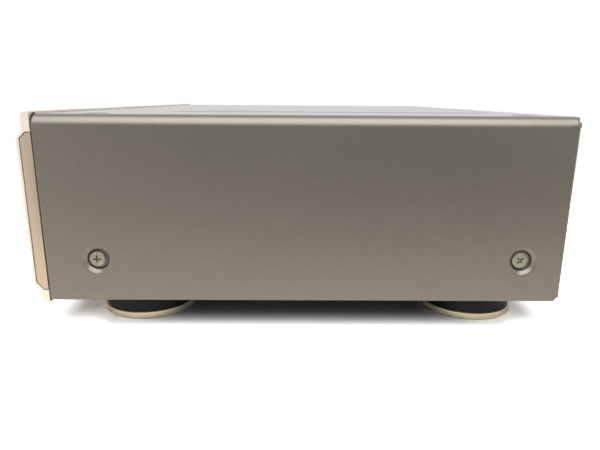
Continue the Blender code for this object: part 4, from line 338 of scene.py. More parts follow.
def fold_cover():
    """The cover's sheet, without its thickness."""
    bm = bmesh.new()
    corners = [(SIDE_X - SILL_LIP, SILL_Z), (SIDE_X, SILL_Z), (SIDE_X, ROOF_Z),
               (-SIDE_X, ROOF_Z), (-SIDE_X, SILL_Z), (SILL_LIP - SIDE_X, SILL_Z)]
    row = [bm.verts.new((x, FRONT_Y - COVER_REACH, z)) for x, z in corners]
    line = [bm.edges.new(pair) for pair in zip(row, row[1:])]
    shift_new(bm, bmesh.ops.extrude_edge_only(bm, edges=line),
              (0, REAR_Y - FRONT_Y + COVER_REACH, 0))
    bm.normal_update()
    if face_at(bm, Vector((0, 0, ROOF_Z))).normal.z < 0:
        bmesh.ops.reverse_faces(bm, faces=bm.faces)

    # The lower rear corners are cut and the rear folds made first
    strip = REAR_Y - REAR_STRIP
    for side in (-1, 1):
        middle = Vector((side * SIDE_X, (strip + REAR_Y) / 2, SILL_Z + (FOLD_FOOT + FOLD_HEAD) / 2))
        frame_cell(bm, middle, (0, REAR_STRIP / 2, (FOLD_HEAD - FOLD_FOOT) / 2))
        corner = Vector((side * SIDE_X, REAR_Y - CORNER_CUT / 2, SILL_Z + FOLD_FOOT / 2))
        cut = frame_cell(bm, corner, (0, CORNER_CUT / 2, 0))
        bmesh.ops.delete(bm, geom=[cut], context='FACES')
    for vert in bm.verts:
        if abs(vert.co.z - SILL_Z) < NEAR and vert.co.y > REAR_Y - CORNER_CUT - NEAR:
            vert.co.y = REAR_Y - 2 * CORNER_CUT
    bmesh.ops.remove_doubles(bm, verts=bm.verts, dist=WELD)
    middle = Vector((0, (strip + REAR_Y) / 2, ROOF_Z))
    frame_cell(bm, middle, (0, REAR_STRIP / 2, 0))
    frame_cell(bm, middle, (SIDE_X - COVER_BEND - REAR_FOLD / 2, 0, 0))
    for middle, way in ((Vector((SIDE_X, REAR_Y, SILL_Z + FOLD_HEAD / 2)), (-1, 0, 0)),
                        (Vector((-SIDE_X, REAR_Y, SILL_Z + FOLD_HEAD / 2)), (1, 0, 0)),
                        (Vector((0, REAR_Y, ROOF_Z)), (0, 0, -1))):
        hinge = min((edge for edge in bm.edges if edge.is_boundary),
                    key=lambda edge: (sum((v.co for v in edge.verts), Vector()) / 2 - middle).length)
        shift_new(bm, bmesh.ops.extrude_edge_only(bm, edges=[hinge]), REAR_FOLD * Vector(way))
    bm.normal_update()
    rear_folds = [edge for edge in bm.edges if not edge.is_boundary
                  and all(abs(vert.co.y - REAR_Y) < NEAR for vert in edge.verts)]
    soften(bm, rear_folds, REAR_BEND, FOLD_STEPS)

    # Then the long bends
    for side in (-1, 1):
        for height, radius, steps in ((ROOF_Z, COVER_BEND, BEND_STEPS), (SILL_Z, SILL_BEND, FOLD_STEPS)):
            fold = [edge for edge in bm.edges if all(
                abs(vert.co.x - side * SIDE_X) < NEAR and abs(vert.co.z - height) < NEAR
                for vert in edge.verts)]
            soften(bm, fold, radius, steps)

    # Then the plateau and the dimples
    plateau = (SIDE_X - PLATEAU_SIDE, (REAR_Y - PLATEAU_REAR - FRONT_Y - PLATEAU_FRONT) / 2, 0)
    middle = Vector((0, FRONT_Y + PLATEAU_FRONT + plateau[1], ROOF_Z))
    face = frame_cell(bm, middle, plateau)
    round_corners(bm, face.verts[:], PLATEAU_ROUND, PLATEAU_STEPS)
    face = face_at(bm, middle)
    for thickness, rise in PLATEAU_PROFILE:
        bmesh.ops.inset_individual(bm, faces=[face], thickness=thickness, depth=rise)
    for side in (-1, 1):
        for depth in (SCREW_FRONT, SCREW_REAR):
            flank = Vector((side * SIDE_X, FRONT_Y + depth, SILL_Z + SCREW_UP))
            above = Vector((side * (SIDE_X - TOP_SCREW_IN), FRONT_Y + depth, ROOF_Z))
            for middle, reach, profile in (
                    (flank, (0, DIMPLE_FRAME, DIMPLE_FRAME), DIMPLE_PROFILE),
                    (above, (TOP_DIMPLE_FRAME, TOP_DIMPLE_FRAME, 0), TOP_DIMPLE_PROFILE)):
                face = frame_cell(bm, middle, reach)
                press_in(bm, round_cell(bm, face, middle, profile[0][0] * MM), profile)

    # A nick in each rear corner, and a narrow band at both ends that keeps the sheet's faces flat
    for vert in bm.verts:
        if vert.co.y > REAR_Y - NEAR and NICK_FOOT < ROOF_Z - vert.co.z < NICK_HEAD:
            vert.co.y -= NOTCH_DEPTH
    for place in (FRONT_Y + EDGE_BAND, REAR_Y - REAR_BEND - NOTCH_DEPTH):
        bmesh.ops.bisect_plane(bm, geom=bm.verts[:] + bm.edges[:] + bm.faces[:], dist=WELD,
                               plane_co=(0, place, 0), plane_no=(0, 1, 0))
    return bm


def new_group(name, inputs, outputs):
    """An empty node group that takes a vector and some numbers, and what comes in at its start."""
    tree = bpy.data.node_groups.new(name, 'ShaderNodeTree')
    tree.interface.new_socket("Vector", in_out='INPUT', socket_type='NodeSocketVector')
    for way, names in (('INPUT', inputs), ('OUTPUT', outputs)):
        for socket in names:
            tree.interface.new_socket(socket, in_out=way, socket_type='NodeSocketFloat')
    return tree, new_node(tree, 'NodeGroupInput').outputs


def end_in_shade(tree, start, height):
    """Ends a group with a pattern's height for a bump, and with its shade round 1 for a colour."""
    either_way = maths(tree, 'SUBTRACT', height, 0.5)
    new_node(tree, 'NodeGroupOutput', {
        "Shade": maths(tree, 'MULTIPLY_ADD', either_way, start["Spread"], 1), "Height": height})
    return tree


def grain_group():
    """A fine random grain."""
    tree, start = new_group("fine_grain", ("Scale", "Spread"), ("Shade", "Height"))
    noise = new_node(tree, 'ShaderNodeTexNoise', {
        "Vector": start["Vector"], "Scale": start["Scale"], "Detail": 2.5, "Roughness": 0.62})
    return end_in_shade(tree, start, noise.outputs["Fac"])


def smudge_group():
    """Faint marks of dust and handling, as a mask between 0 and the amount given."""
    tree, start = new_group("smudges", ("Scale", "Amount"), ("Mask",))
    cloud = new_node(tree, 'ShaderNodeTexNoise', {
        "Vector": start["Vector"], "Scale": start["Scale"], "Detail": 4, "Distortion": 0.6})
    patches = ramp(tree, cloud.outputs["Fac"], 0.45, 0.72, 0, 1)
    new_node(tree, 'NodeGroupOutput', {"Mask": maths(tree, 'MULTIPLY', patches, start["Amount"])})
    return tree


FINE_GRAIN = grain_group()
SMUDGES = smudge_group()


def shader_of(material):
    """The material's own surface shader."""
    return material.node_tree.nodes["Principled BSDF"]


def finish(name, colour, roughness, metallic, grain, bump, smudge=(9, 0.25), stretch=(1, 1, 1),
           spread=0.25, coat=0):
    """A finish: its colour with a grain along the object, and smudges that dull its gloss.

    grain is the grain's scale, and bump its depth in metres; stretch draws the grain out.
    """
    material = bpy.data.materials.new(name)
    material.use_nodes = True
    tree = material.node_tree
    place = own_place(tree)
    drawn = new_node(tree, 'ShaderNodeMapping', {"Vector": place, "Scale": stretch})
    fine = new_node(tree, 'ShaderNodeGroup', {
        "Vector": drawn.outputs["Vector"], "Scale": grain, "Spread": spread}, node_tree=FINE_GRAIN)
    marks = new_node(tree, 'ShaderNodeGroup', {
        "Vector": place, "Scale": smudge[0], "Amount": smudge[1]}, node_tree=SMUDGES)
    gloss = new_node(tree, 'ShaderNodeMapRange', {
        "Value": marks.outputs["Mask"], "To Min": roughness, "To Max": min(1, roughness + SMUDGE_DULLS)})
    relief = new_node(tree, 'ShaderNodeBump', {
        "Height": fine.outputs["Height"], "Strength": 1, "Distance": bump})
    feed(shader_of(material), {
        "Base Color": tinted(tree, colour, fine.outputs["Shade"]), "Metallic": metallic,
        "Roughness": gloss.outputs["Result"], "Normal": relief.outputs["Normal"],
        "Coat Weight": coat, "Coat Roughness": 0.3})
    return material


def make_piece(name, bm, material, sharp=35):
    """A piece from its finished mesh, smooth between its sharp edges."""
    mesh = bpy.data.meshes.new(name)
    bm.normal_update()
    bm.to_mesh(mesh)
    bm.free()
    mesh.materials.append(material)
    mesh.shade_smooth()
    mesh.set_sharp_from_angle(angle=math.radians(sharp))
    piece = bpy.data.objects.new(name, mesh)
    bpy.context.scene.collection.objects.link(piece)
    return piece


def even_shading(piece):
    """Keeps a piece's flat faces flat beside its bends and rounded edges."""
    weigh = piece.modifiers.new("flat faces", 'WEIGHTED_NORMAL')
    weigh.keep_sharp, weigh.weight = True, 80


cover_paint = finish("cover_paint", COVER_GREY, 0.35, 0.85, 900, 0.000012, smudge=(7, 0.18),
                     spread=0.30, coat=0.25)
cover = make_piece("cover_sheet", fold_cover(), cover_paint)
wall = cover.modifiers.new("sheet", 'SOLIDIFY')
wall.thickness, wall.offset = COVER_SHEET, -1
even_shading(cover)
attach(cover, "cabinet")
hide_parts("top_cover")

# Feet
# Turned plastic feet on the chassis floor, each with an anodised ring and a felt pad under it.
FOOT_BODY = ((0, 17.0), (27.1, 17.0), (27.8, 16.7), (28.0, 16.1), (28.0, 4.85), (27.75, 4.5),
             (26.4, 4.45), (26.3, 4.35), (26.3, 0.9), (9.0, 0.9), (9.0, 7.0), (0, 7.0))
FOOT_RING = ((28.45, 4.15), (28.8, 4.05), (29.0, 3.7), (29.0, 0.8), (28.9, 0.5), (28.5, 0.4),
             (26.6, 0.4), (26.6, 4.15))
FOOT_PAD = ((26.0, 0.9), (26.25, 0.7), (26.25, 0.15), (26.0, 0), (9.4, 0), (9.2, 0.15), (9.2, 0.9))


def turned(profile, steps=96, closed=False):
    """A turned shape that stands up, from (radius, height) pairs in millimetres."""
    bm = bmesh.new()
    row = [bm.verts.new((radius * MM, 0, height * MM)) for radius, height in profile]
    line = [bm.edges.new(pair) for pair in zip(row, row[1:])]
    if closed:
        line.append(bm.edges.new((row[-1], row[0])))
    bmesh.ops.spin(bm, geom=row + line, cent=(0, 0, 0), axis=(0, 0, 1), angle=2 * math.pi,
                   steps=steps, use_merge=True)
    bmesh.ops.remove_doubles(bm, verts=bm.verts, dist=WELD)
    bmesh.ops.recalc_face_normals(bm, faces=bm.faces)
    return bm


def face_way(bm, place, way):
    """Moves a shape that stands up to its place, facing another way."""
    quarter = math.pi / 2
    turn = {"up": Matrix.Identity(4), "right": Matrix.Rotation(quarter, 4, 'Y'),
            "left": Matrix.Rotation(-quarter, 4, 'Y'), "rear": Matrix.Rotation(-quarter, 4, 'X'),
            "front": Matrix.Rotation(quarter, 4, 'X'), "down": Matrix.Rotation(2 * quarter, 4, 'X')}
    bmesh.ops.transform(bm, matrix=Matrix.Translation(place) @ turn[way], verts=bm.verts)
    return bm


foot_black = finish("foot_plastic", (0.010, 0.010, 0.013), 0.36, 0, 1500, 0.00001)
feed(shader_of(foot_black), {"Specular IOR Level": 0.15})
ring_gold = finish("ring_anodised", (0.70, 0.60, 0.42), 0.36, 0.6, 600, 0.000008,
                   stretch=(1, 1, 12), spread=0.2)
pad_felt = finish("pad_felt", (0.05, 0.05, 0.055), 0.95, 0, 2500, 0.0001)
for end in ("front", "rear"):
    for side in ("left", "right"):
        low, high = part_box(f"foot_{end}_{side}")
        middle = Vector(((low.x + high.x) / 2, (low.y + high.y) / 2, 0))
        for name, profile, closed, material, slot in (
                ("foot", FOOT_BODY, False, foot_black, "foot_black"),
                ("foot_ring", FOOT_RING, True, ring_gold, "foot_ring_gold"),
                ("foot_pad", FOOT_PAD, True, pad_felt, "foot_black")):
            bm = face_way(turned(profile, closed=closed), middle, "up")
            piece = make_piece(f"{name}_{end}_{side}_turned", bm, material)
            even_shading(piece)
            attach(piece, "cabinet")
            if name != "foot_pad":
                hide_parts(f"{name}_{end}_{side}")

# Cover screws
# Zinc-plated cross-head screws, sunk in the side dimples and a little off their middles, with
# smaller ones in the top dimples. All thread into the chassis.
HEAD_PROFILE = ((0, 0.12), (2.0, 0.10), (3.7, 0.0), (4.35, -0.12), (4.65, -0.5), (4.65, -2.2),
                (4.3, -2.4), (2.0, -2.4), (2.0, -6.0), (0, -6.0))
SIDE_CROSS = 2.5 * MM, 0.55 * MM, 1.6 * MM
CROSS_TAPER, FACES_UP, HEAD_POINTS = 0.55, 0.6, 48
SCREW_SUNK, SCREW_ASIDE, TOP_SCREW_SUNK, TOP_SCREW_SIZE = 1.8 * MM, 0.6 * MM, 0.65 * MM, 0.85
CROSS_TURNS, TOP_CROSS_TURN = {"front": 0.06, "rear": math.radians(40)}, 0.5


def cross_head(profile, cross, turn, size=1.0):
    """A screw facing up, with a cross sunk into its head: an arm's reach, half width and depth."""
    arm, half, depth = cross
    bm = turned([(radius * size, height * size) for radius, height in profile], steps=HEAD_POINTS)
    for normal in (Vector((1, 0, 0)), Vector((0, 1, 0))):
        for reach in (half, -half, arm, -arm):
            top = [face for face in bm.faces if face.normal.z > FACES_UP]
            geom = list({item for face in top for item in (face, *face.edges, *face.verts)})
            bmesh.ops.bisect_plane(bm, geom=geom, plane_co=normal * reach, plane_no=normal, dist=WELD)
            bm.normal_update()
    sunk = []
    for face in bm.faces:
        at = face.calc_center_median()
        near, far = sorted((abs(at.x), abs(at.y)))
        if face.normal.z > FACES_UP and near < half and far < arm:
            sunk.append(face)
    grown = bmesh.ops.extrude_face_region(bm, geom=sunk)["geom"]
    floor = [item for item in grown if isinstance(item, bmesh.types.BMVert)]
    bmesh.ops.delete(bm, geom=sunk, context='FACES_ONLY')
    bmesh.ops.translate(bm, vec=(0, 0, -depth), verts=floor)
    bmesh.ops.scale(bm, vec=(CROSS_TAPER, CROSS_TAPER, 1), verts=floor)
    bmesh.ops.rotate(bm, cent=(0, 0, 0), matrix=Matrix.Rotation(turn, 3, 'Z'), verts=bm.verts)
    bmesh.ops.recalc_face_normals(bm, faces=bm.faces)
    return bm


screw_zinc = finish("screw_zinc", (0.34, 0.325, 0.25), 0.42, 0.7, 900, 0.00006,
                    smudge=(400, 0.7), spread=1.8)
for side, sign in (("right", 1), ("left", -1)):
    for end, depth in (("front", SCREW_FRONT), ("rear", SCREW_REAR)):
        node = f"side_screw_{side}_{end}"
        low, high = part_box(node)
        face = high.x if sign > 0 else low.x
        turn = CROSS_TURNS[end]
        bm = cross_head(HEAD_PROFILE, SIDE_CROSS, turn)
        place = Vector((face - sign * SCREW_SUNK, FRONT_Y + depth - SCREW_ASIDE, SILL_Z + SCREW_UP))
        piece = make_piece(f"{node}_head", face_way(bm, place, side), screw_zinc, sharp=30)
        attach(piece, "cabinet")
        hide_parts(node)
        bm = cross_head(HEAD_PROFILE, SIDE_CROSS, turn + TOP_CROSS_TURN, size=TOP_SCREW_SIZE)
        place = Vector((sign * (SIDE_X - TOP_SCREW_IN), FRONT_Y + depth, ROOF_Z - TOP_SCREW_SUNK))
        piece = make_piece(f"top_screw_{side}_{end}", face_way(bm, place, "up"), screw_zinc, sharp=30)
        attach(piece, "cabinet")

# Front panel
# A hollow aluminium extrusion, champagne anodised, with an opening for each control.
PANEL_OUTER = ((1.05, -1.2), (5.4, -1.2), (5.4, 5.6), (9.2, 10.1), (9.2, 94.8), (5.6, 98.4),
               (5.6, 109.2), (1.05, 109.2))
PANEL_INNER = ((1.05, 98.4), (4.1, 98.4), (7.8, 94.7), (7.8, 11.1), (3.7, 6.4), (1.05, 6.4))
PANEL_ROUNDS = {1: 2.0 * MM, 2: 0.5 * MM, 3: 0.7 * MM, 4: 0.7 * MM, 5: 0.5 * MM, 6: 2.6 * MM}
PANEL_FACE_Y = FRONT_Y - 9.2 * MM
PANEL_BACK_Y = FRONT_Y - 7.8 * MM
PANEL_RIM = 0.3 * MM
CAP_GAP = 0.3 * MM
KEYS = ("record_button", "rewind_button", "stop_button", "play_button", "pause_button",
        "forward_button", "power_button", "eject_button")
KEY_FLANGE, WINDOW_FLANGE = 1.4 * MM, 2 * MM
SLOT_HALF = 38 * MM, 3.6 * MM
TUNNEL_SIDE, TUNNEL_FLOOR, TUNNEL_ROOF, TUNNEL_RAISE = 6 * MM, 1.6 * MM, 1.2 * MM, 2.6 * MM
SHAFT_HOLE, JACK_HOLE = 3.6 * MM, 4.9 * MM
HOLE_FRAME = 1.15
TIMER_SLOT = 5.5 * MM, 2 * MM
# Cuts that part the face first, so that an opening's cuts stay short: a point, across and up in
# millimetres, and how far from it they lie
PANEL_PARTS = ((-15, 46, (100 * MM, 0, 0)), (-15, 46, (0, 0, 18 * MM)), (-180, 80, (0, 0, 30 * MM)))


def panel_point(proud, up, x=0):
    """A point this far before the cover's front edge and above its foot, in millimetres."""
    return Vector((x, FRONT_Y - proud * MM, SILL_Z + up * MM))


def extrude_panel():
    """The panel's extrusion, from end to end, before its openings."""
    bm = bmesh.new()
    row = [bm.verts.new(panel_point(*at, x=-SIDE_X)) for at in PANEL_OUTER + PANEL_INNER]
    bm.faces.new(row)
    for i, radius in sorted(PANEL_ROUNDS.items(), reverse=True):
        round_corners(bm, [row[i]], radius)
    shift_new(bm, bmesh.ops.extrude_face_region(bm, geom=bm.faces[:]), (2 * SIDE_X, 0, 0))
    bmesh.ops.recalc_face_normals(bm, faces=bm.faces)
    return bm


def open_panel(bm, x, z, reach, radius=None):
    """Cuts an opening through the panel's face: a rectangle, or a circle where a radius is given."""
    rims = []
    for y in (PANEL_FACE_Y, PANEL_BACK_Y):
        middle = Vector((x, y, z))
        face = frame_cell(bm, middle, (reach[0], 0, reach[1]))
        if radius:
            face = round_cell(bm, face, middle, radius)
        rims.append(face.edges[:])
        bmesh.ops.delete(bm, geom=[face], context='FACES_ONLY')
    bmesh.ops.bridge_loops(bm, edges=rims[0] + rims[1])
    soften(bm, rims[0], PANEL_RIM)


panel = extrude_panel()
for x, up, reach in PANEL_PARTS:
    for y in (PANEL_FACE_Y, PANEL_BACK_Y):
        frame_cell(panel, Vector((x * MM, y, SILL_Z + up * MM)), reach)
for node in ("display_window", "slot_bezel", *KEYS):
    low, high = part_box(node)
    middle, half = (low + high) / 2, (high - low) / 2
    if node == "slot_bezel":
        middle.z += (TUNNEL_RAISE + TUNNEL_ROOF - TUNNEL_FLOOR) / 2
        reach = (SLOT_HALF[0] + TUNNEL_SIDE + CAP_GAP,
                 SLOT_HALF[1] + (TUNNEL_FLOOR + TUNNEL_RAISE + TUNNEL_ROOF) / 2 + CAP_GAP)
    else:
        flange = WINDOW_FLANGE if node == "display_window" else KEY_FLANGE
        reach = half.x - flange + CAP_GAP, half.z - flange + CAP_GAP
    open_panel(panel, middle.x, middle.z, reach)
for node, radius in (("jog_dial", SHAFT_HOLE), ("record_level_knob", SHAFT_HOLE),
                     ("phones_level_knob", SHAFT_HOLE), ("phones_jack", JACK_HOLE)):
    low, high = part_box(node)
    reach = HOLE_FRAME * radius, HOLE_FRAME * radius
    open_panel(panel, (low.x + high.x) / 2, (low.z + high.z) / 2, reach, radius)
low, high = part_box("timer_switch")
open_panel(panel, (low.x + high.x) / 2, (low.z + high.z) / 2, TIMER_SLOT)
champagne = finish("panel_anodised", (0.95, 0.85, 0.69), 0.36, 0.3, 500, 0.000006,
                   stretch=(0.05, 1, 1), spread=0.12)
piece = make_piece("front_extrusion", panel, champagne)
even_shading(piece)
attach(piece, "cabinet")
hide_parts("front_panel")

# End caps
# A dark brown moulded plug let into each open end of the extrusion, with a taupe painted plate on
# it. A thin flange on the plug fills the gap between the panel and the cover. The plug's dark brown
# is partly its own colour and partly painted shade for the narrow gaps round the plate and the flange.
PLATE_DEPTH, PLATE_SUNK, PLATE_EDGE = 0.7 * MM, 0.05 * MM, 0.3 * MM
PLATE_REVEAL, PLATE_BACK = 0.5, 1.1
PLUG_DEPTH, PLUG_GAP, PLUG_ROUND = 7 * MM, 0.02 * MM, 5.7 * MM
PLUG_REVEAL = 0.05
FLANGE_BACK, FLANGE_FACE, FLANGE_FOOT, FLANGE_HEAD = 0.4, 0.95, -0.6, 108.6
cap_taupe = finish("cap_paint", (0.555, 0.455, 0.34), 0.36, 0.8, 1300, 0.000008, spread=0.12)
# Dark brown: partly the plug's own colour, partly painted shade in the gaps it shows through
plug_brown_gap_shade = finish("cap_plastic_gap_shade", (0.072, 0.047, 0.025), 0.6, 0, 1300, 0.00001)


def end_outline(shrink, back):
    """The outline of the extrusion's open end, this much smaller, from its upper rear corner on."""
    slant = shrink / 2
    return [(back, 98.4 - shrink), (4.1 - slant, 98.4 - shrink), (7.8 - shrink, 94.7 - slant),
            (7.8 - shrink, 11.1 + slant), (3.7 - slant, 6.4 + shrink), (back, 6.4 + shrink)]


def cap_layer(outline, sign, inner, outer, rounding, head_only=False):
    """A plate in an outline, from one depth to another, rounded along its rim or its head only."""
    bm = bmesh.new()
    face = bm.faces.new([bm.verts.new(panel_point(*at, x=sign * inner)) for at in outline])
    shift_new(bm, bmesh.ops.extrude_face_region(bm, geom=[face]), (sign * (outer - inner), 0, 0))
    bmesh.ops.recalc_face_normals(bm, faces=bm.faces)
    rim = [edge for edge in bm.edges if all(abs(abs(vert.co.x) - outer) < NEAR for vert in edge.verts)]
    if head_only:
        top = max(vert.co.z for vert in bm.verts)
        rim = [edge for edge in rim if all(vert.co.z > top - NEAR for vert in edge.verts)]
    return soften(bm, rim, rounding, 8 if head_only else 3)


for name, sign in (("end_cap_left", -1), ("end_cap_right", 1)):
    outline = end_outline(PLATE_REVEAL, PLATE_BACK)
    bm = cap_layer(outline, sign, SIDE_X - PLATE_DEPTH, SIDE_X - PLATE_SUNK, PLATE_EDGE)
    piece = make_piece(f"{name}_plate", bm, cap_taupe)
    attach(piece, "cabinet")
    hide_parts(name)
    outline = [(FLANGE_BACK, FLANGE_FOOT), (FLANGE_BACK, FLANGE_HEAD), (FLANGE_FACE, FLANGE_HEAD),
               *end_outline(PLUG_REVEAL, FLANGE_FACE), (FLANGE_FACE, FLANGE_FOOT)]
    bm = cap_layer(outline, sign, SIDE_X - PLUG_DEPTH, SIDE_X - PLATE_DEPTH - PLUG_GAP, PLUG_ROUND,
                   head_only=True)
    piece = make_piece(f"{name}_plug", bm, plug_brown_gap_shade)
    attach(piece, "cabinet")

# Display
# A smoked acrylic window set in the panel from behind, and the glass vacuum tube that shows
# through it with its grey plate of segments.
WINDOW_EDGE, TUBE_EDGE = 0.35 * MM, 0.6 * MM
TUBE_PLATE_IN = 1.2 * MM


def pull(bm, face, shift, size=(1, 1, 1)):
    """Draws a face out along a shift, scaled about its own middle, and returns the new face."""
    grown = bmesh.ops.extrude_face_region(bm, geom=[face])["geom"]
    if all(len(edge.link_faces) > 2 for edge in face.edges):
        bmesh.ops.delete(bm, geom=[face], context='FACES_ONLY')
    drawn = next(item for item in grown if isinstance(item, bmesh.types.BMFace))
    bmesh.ops.translate(bm, vec=shift, verts=drawn.verts)
    middle = drawn.calc_center_median()
    bmesh.ops.scale(bm, vec=size, space=Matrix.Translation(-middle), verts=drawn.verts)
    return drawn


def stepped(middle, stations):
    """A block in steps along Y from (y, half width, half height) stations round an X and Z."""
    bm = bmesh.new()
    bmesh.ops.create_grid(bm, x_segments=1, y_segments=1, size=1,
                          matrix=Matrix.Rotation(math.pi / 2, 4, 'X'))
    y, wide, high = stations[0]
    bmesh.ops.scale(bm, vec=(wide, 1, high), verts=bm.verts)
    bmesh.ops.translate(bm, vec=(middle.x, y, middle.z), verts=bm.verts)
    face = bm.faces[:][0]
    for (y, wide, high), (next_y, next_wide, next_high) in zip(stations, stations[1:]):
        face = pull(bm, face, (0, next_y - y, 0), (next_wide / wide, 1, next_high / high))
    bmesh.ops.recalc_face_normals(bm, faces=bm.faces)
    return bm


def edges_at(bm, y, slack=0.02 * MM):
    """The edges that lie in the plane at a depth."""
    return [edge for edge in bm.edges if all(abs(vert.co.y - y) < slack for vert in edge.verts)]


window_acrylic = finish("window_acrylic", (0.035, 0.028, 0.026), 0.06, 0, 300, 0.000002,
                        smudge=(30, 0.35), spread=0.1)
feed(shader_of(window_acrylic), {"Transmission Weight": 0.55, "IOR": 1.49})
low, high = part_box("display_window")
middle, half = (low + high) / 2, (high - low) / 2
cap = half.x - WINDOW_FLANGE, half.z - WINDOW_FLANGE
flange_y = PANEL_BACK_Y + CAP_GAP
bm = stepped(middle, [(low.y, *cap), (flange_y, *cap), (flange_y, half.x, half.z),
                      (high.y, half.x, half.z)])
soften(bm, edges_at(bm, low.y), WINDOW_EDGE)
piece = make_piece("window_pane", bm, window_acrylic)
even_shading(piece)
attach(piece, "cabinet")
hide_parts("display_window")


def grid_plate():
    """The tube's grey mesh of segments, seen through its glass."""
    material = finish("tube_plate", (0.060, 0.066, 0.064), 0.5, 0.3, 900, 0.00001, spread=0.3)
    tree = material.node_tree
    turn = new_node(tree, 'ShaderNodeMapping', {
        "Vector": own_place(tree), "Rotation": (math.pi / 2, 0, 0)})
    cells = new_node(tree, 'ShaderNodeTexBrick', {
        "Vector": turn.outputs["Vector"], "Scale": 90, "Mortar Size": 0.05,
        "Color1": (0.080, 0.092, 0.088, 1), "Color2": (0.062, 0.072, 0.070, 1),
        "Mortar": (0.016, 0.016, 0.017, 1)})
    feed(shader_of(material), {"Base Color": cells.outputs["Color"]})
    return material


tube_glass = finish("tube_glass", (0.72, 0.76, 0.75), 0.03, 0, 200, 0.000001, spread=0.05)
feed(shader_of(tube_glass), {"Transmission Weight": 1})
low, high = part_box("display_tube")
middle, half = (low + high) / 2, (high - low) / 2
for name, inset, span, material in (
        ("display_tube_envelope", 0, (low.y, high.y), tube_glass),
        ("display_tube_plate", TUBE_PLATE_IN, (middle.y, high.y - TUBE_PLATE_IN), grid_plate())):
    bm = stepped(middle, [(y, half.x - inset, half.z - inset) for y in span])
    soften(bm, bm.edges[:], TUBE_EDGE)
    piece = make_piece(name, bm, material)
    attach(piece, "cabinet")
    if not inset:
        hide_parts("display_tube")

# Disc slot
# A black moulded bezel with the tunnel behind it, and the sprung door that a disc pushes in.
BEZEL_PLATE, BEZEL_EDGE, MOUTH_EDGE, SLACK = 0.7 * MM, 0.35 * MM, 0.3 * MM, 0.01 * MM
DOOR_SHEET, DOOR_PIN, DOOR_EDGE = 1.2 * MM, 0.9 * MM, 0.3 * MM
DOOR_ROOM, DOOR_ASIDE = 1.2 * MM, 0.6 * MM


def hinged_flap(hinge, half, sheet, pin):
    """A flap that hangs from its pin, half its width and height being given.

    sheet is its thickness, the side that faces out and that side's edge; pin is the pin's
    radius, length and points.
    """
    thick, out, edge = sheet
    radius, length, segments = pin
    bm = stepped(Vector((hinge.x, 0, hinge.z - half[1])),
                 [(hinge.y - thick / 2, *half), (hinge.y + thick / 2, *half)])
    soften(bm, edges_at(bm, hinge.y + out * thick / 2), edge)
    bmesh.ops.create_cone(bm, cap_ends=True, segments=segments, radius1=radius, radius2=radius,
                          depth=length,
                          matrix=Matrix.Translation(hinge) @ Matrix.Rotation(math.pi / 2, 4, 'Y'))
    return bm


black_moulding = finish("moulding_black", (0.022, 0.022, 0.024), 0.42, 0, 1800, 0.000015,
                        smudge=(18, 0.3), spread=0.25)
low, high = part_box("slot_bezel")
middle, half = (low + high) / 2, (high - low) / 2
door_low, door_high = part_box("slot_door")
hinge = Vector((middle.x, (door_low.y + door_high.y) / 2, door_high.z - DOOR_PIN))
bm = stepped(middle, [(low.y, half.x, half.z), (low.y + BEZEL_PLATE, half.x, half.z)])
soften(bm, edges_at(bm, low.y), BEZEL_EDGE)
tunnel_middle = Vector((middle.x, low.y + BEZEL_PLATE,
                        middle.z + (TUNNEL_RAISE + TUNNEL_ROOF - TUNNEL_FLOOR) / 2))
tunnel_half = (SLOT_HALF[0] + TUNNEL_SIDE, 0,
               SLOT_HALF[1] + (TUNNEL_FLOOR + TUNNEL_RAISE + TUNNEL_ROOF) / 2)
pull(bm, frame_cell(bm, tunnel_middle, tunnel_half), (0, high.y - low.y - BEZEL_PLATE, 0))
way_out = frame_cell(bm, Vector((middle.x, high.y, middle.z + TUNNEL_RAISE / 2)),
                     (SLOT_HALF[0], 0, SLOT_HALF[1] + TUNNEL_RAISE / 2))
bmesh.ops.delete(bm, geom=[way_out], context='FACES_ONLY')
mouth = frame_cell(bm, Vector((middle.x, low.y, middle.z)), (SLOT_HALF[0], 0, SLOT_HALF[1]))
rim = mouth.edges[:]
mouth = pull(bm, mouth, (0, hinge.y - DOOR_ROOM - low.y, 0))
mouth = pull(bm, mouth, (0, 0, TUNNEL_RAISE / 2), (1, 1, 1 + TUNNEL_RAISE / SLOT_HALF[1] / 2))
mouth = pull(bm, mouth, (0, high.y - hinge.y + DOOR_ROOM, 0))
bmesh.ops.delete(bm, geom=[mouth], context='FACES_ONLY')
bmesh.ops.remove_doubles(bm, verts=bm.verts, dist=SLACK)
bmesh.ops.recalc_face_normals(bm, faces=bm.faces)
soften(bm, [edge for edge in rim if edge.is_valid], MOUTH_EDGE)
piece = make_piece("slot_bezel_moulding", bm, black_moulding)
even_shading(piece)
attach(piece, "cabinet")
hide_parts("slot_bezel")

half = SLOT_HALF[0] - DOOR_ASIDE, (hinge.z - door_low.z) / 2
bm = hinged_flap(hinge, half, (DOOR_SHEET, -1, DOOR_EDGE), (DOOR_PIN, door_high.x - door_low.x, 32))
piece = make_piece("slot_door_flap", bm, black_moulding)
even_shading(piece)
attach(piece, "slot_door")
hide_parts("slot_door")

# Buttons
# Eight champagne caps, each with a flange behind the panel and a stem to its switch.
KEY_FLANGE_SHEET, KEY_STEM, KEY_EDGE = 1 * MM, 2 * MM, 0.4 * MM
KEY_BORDER, KEY_SLOPE, KEY_DISH = 0.7 * MM, 0.5 * MM, 0.18 * MM

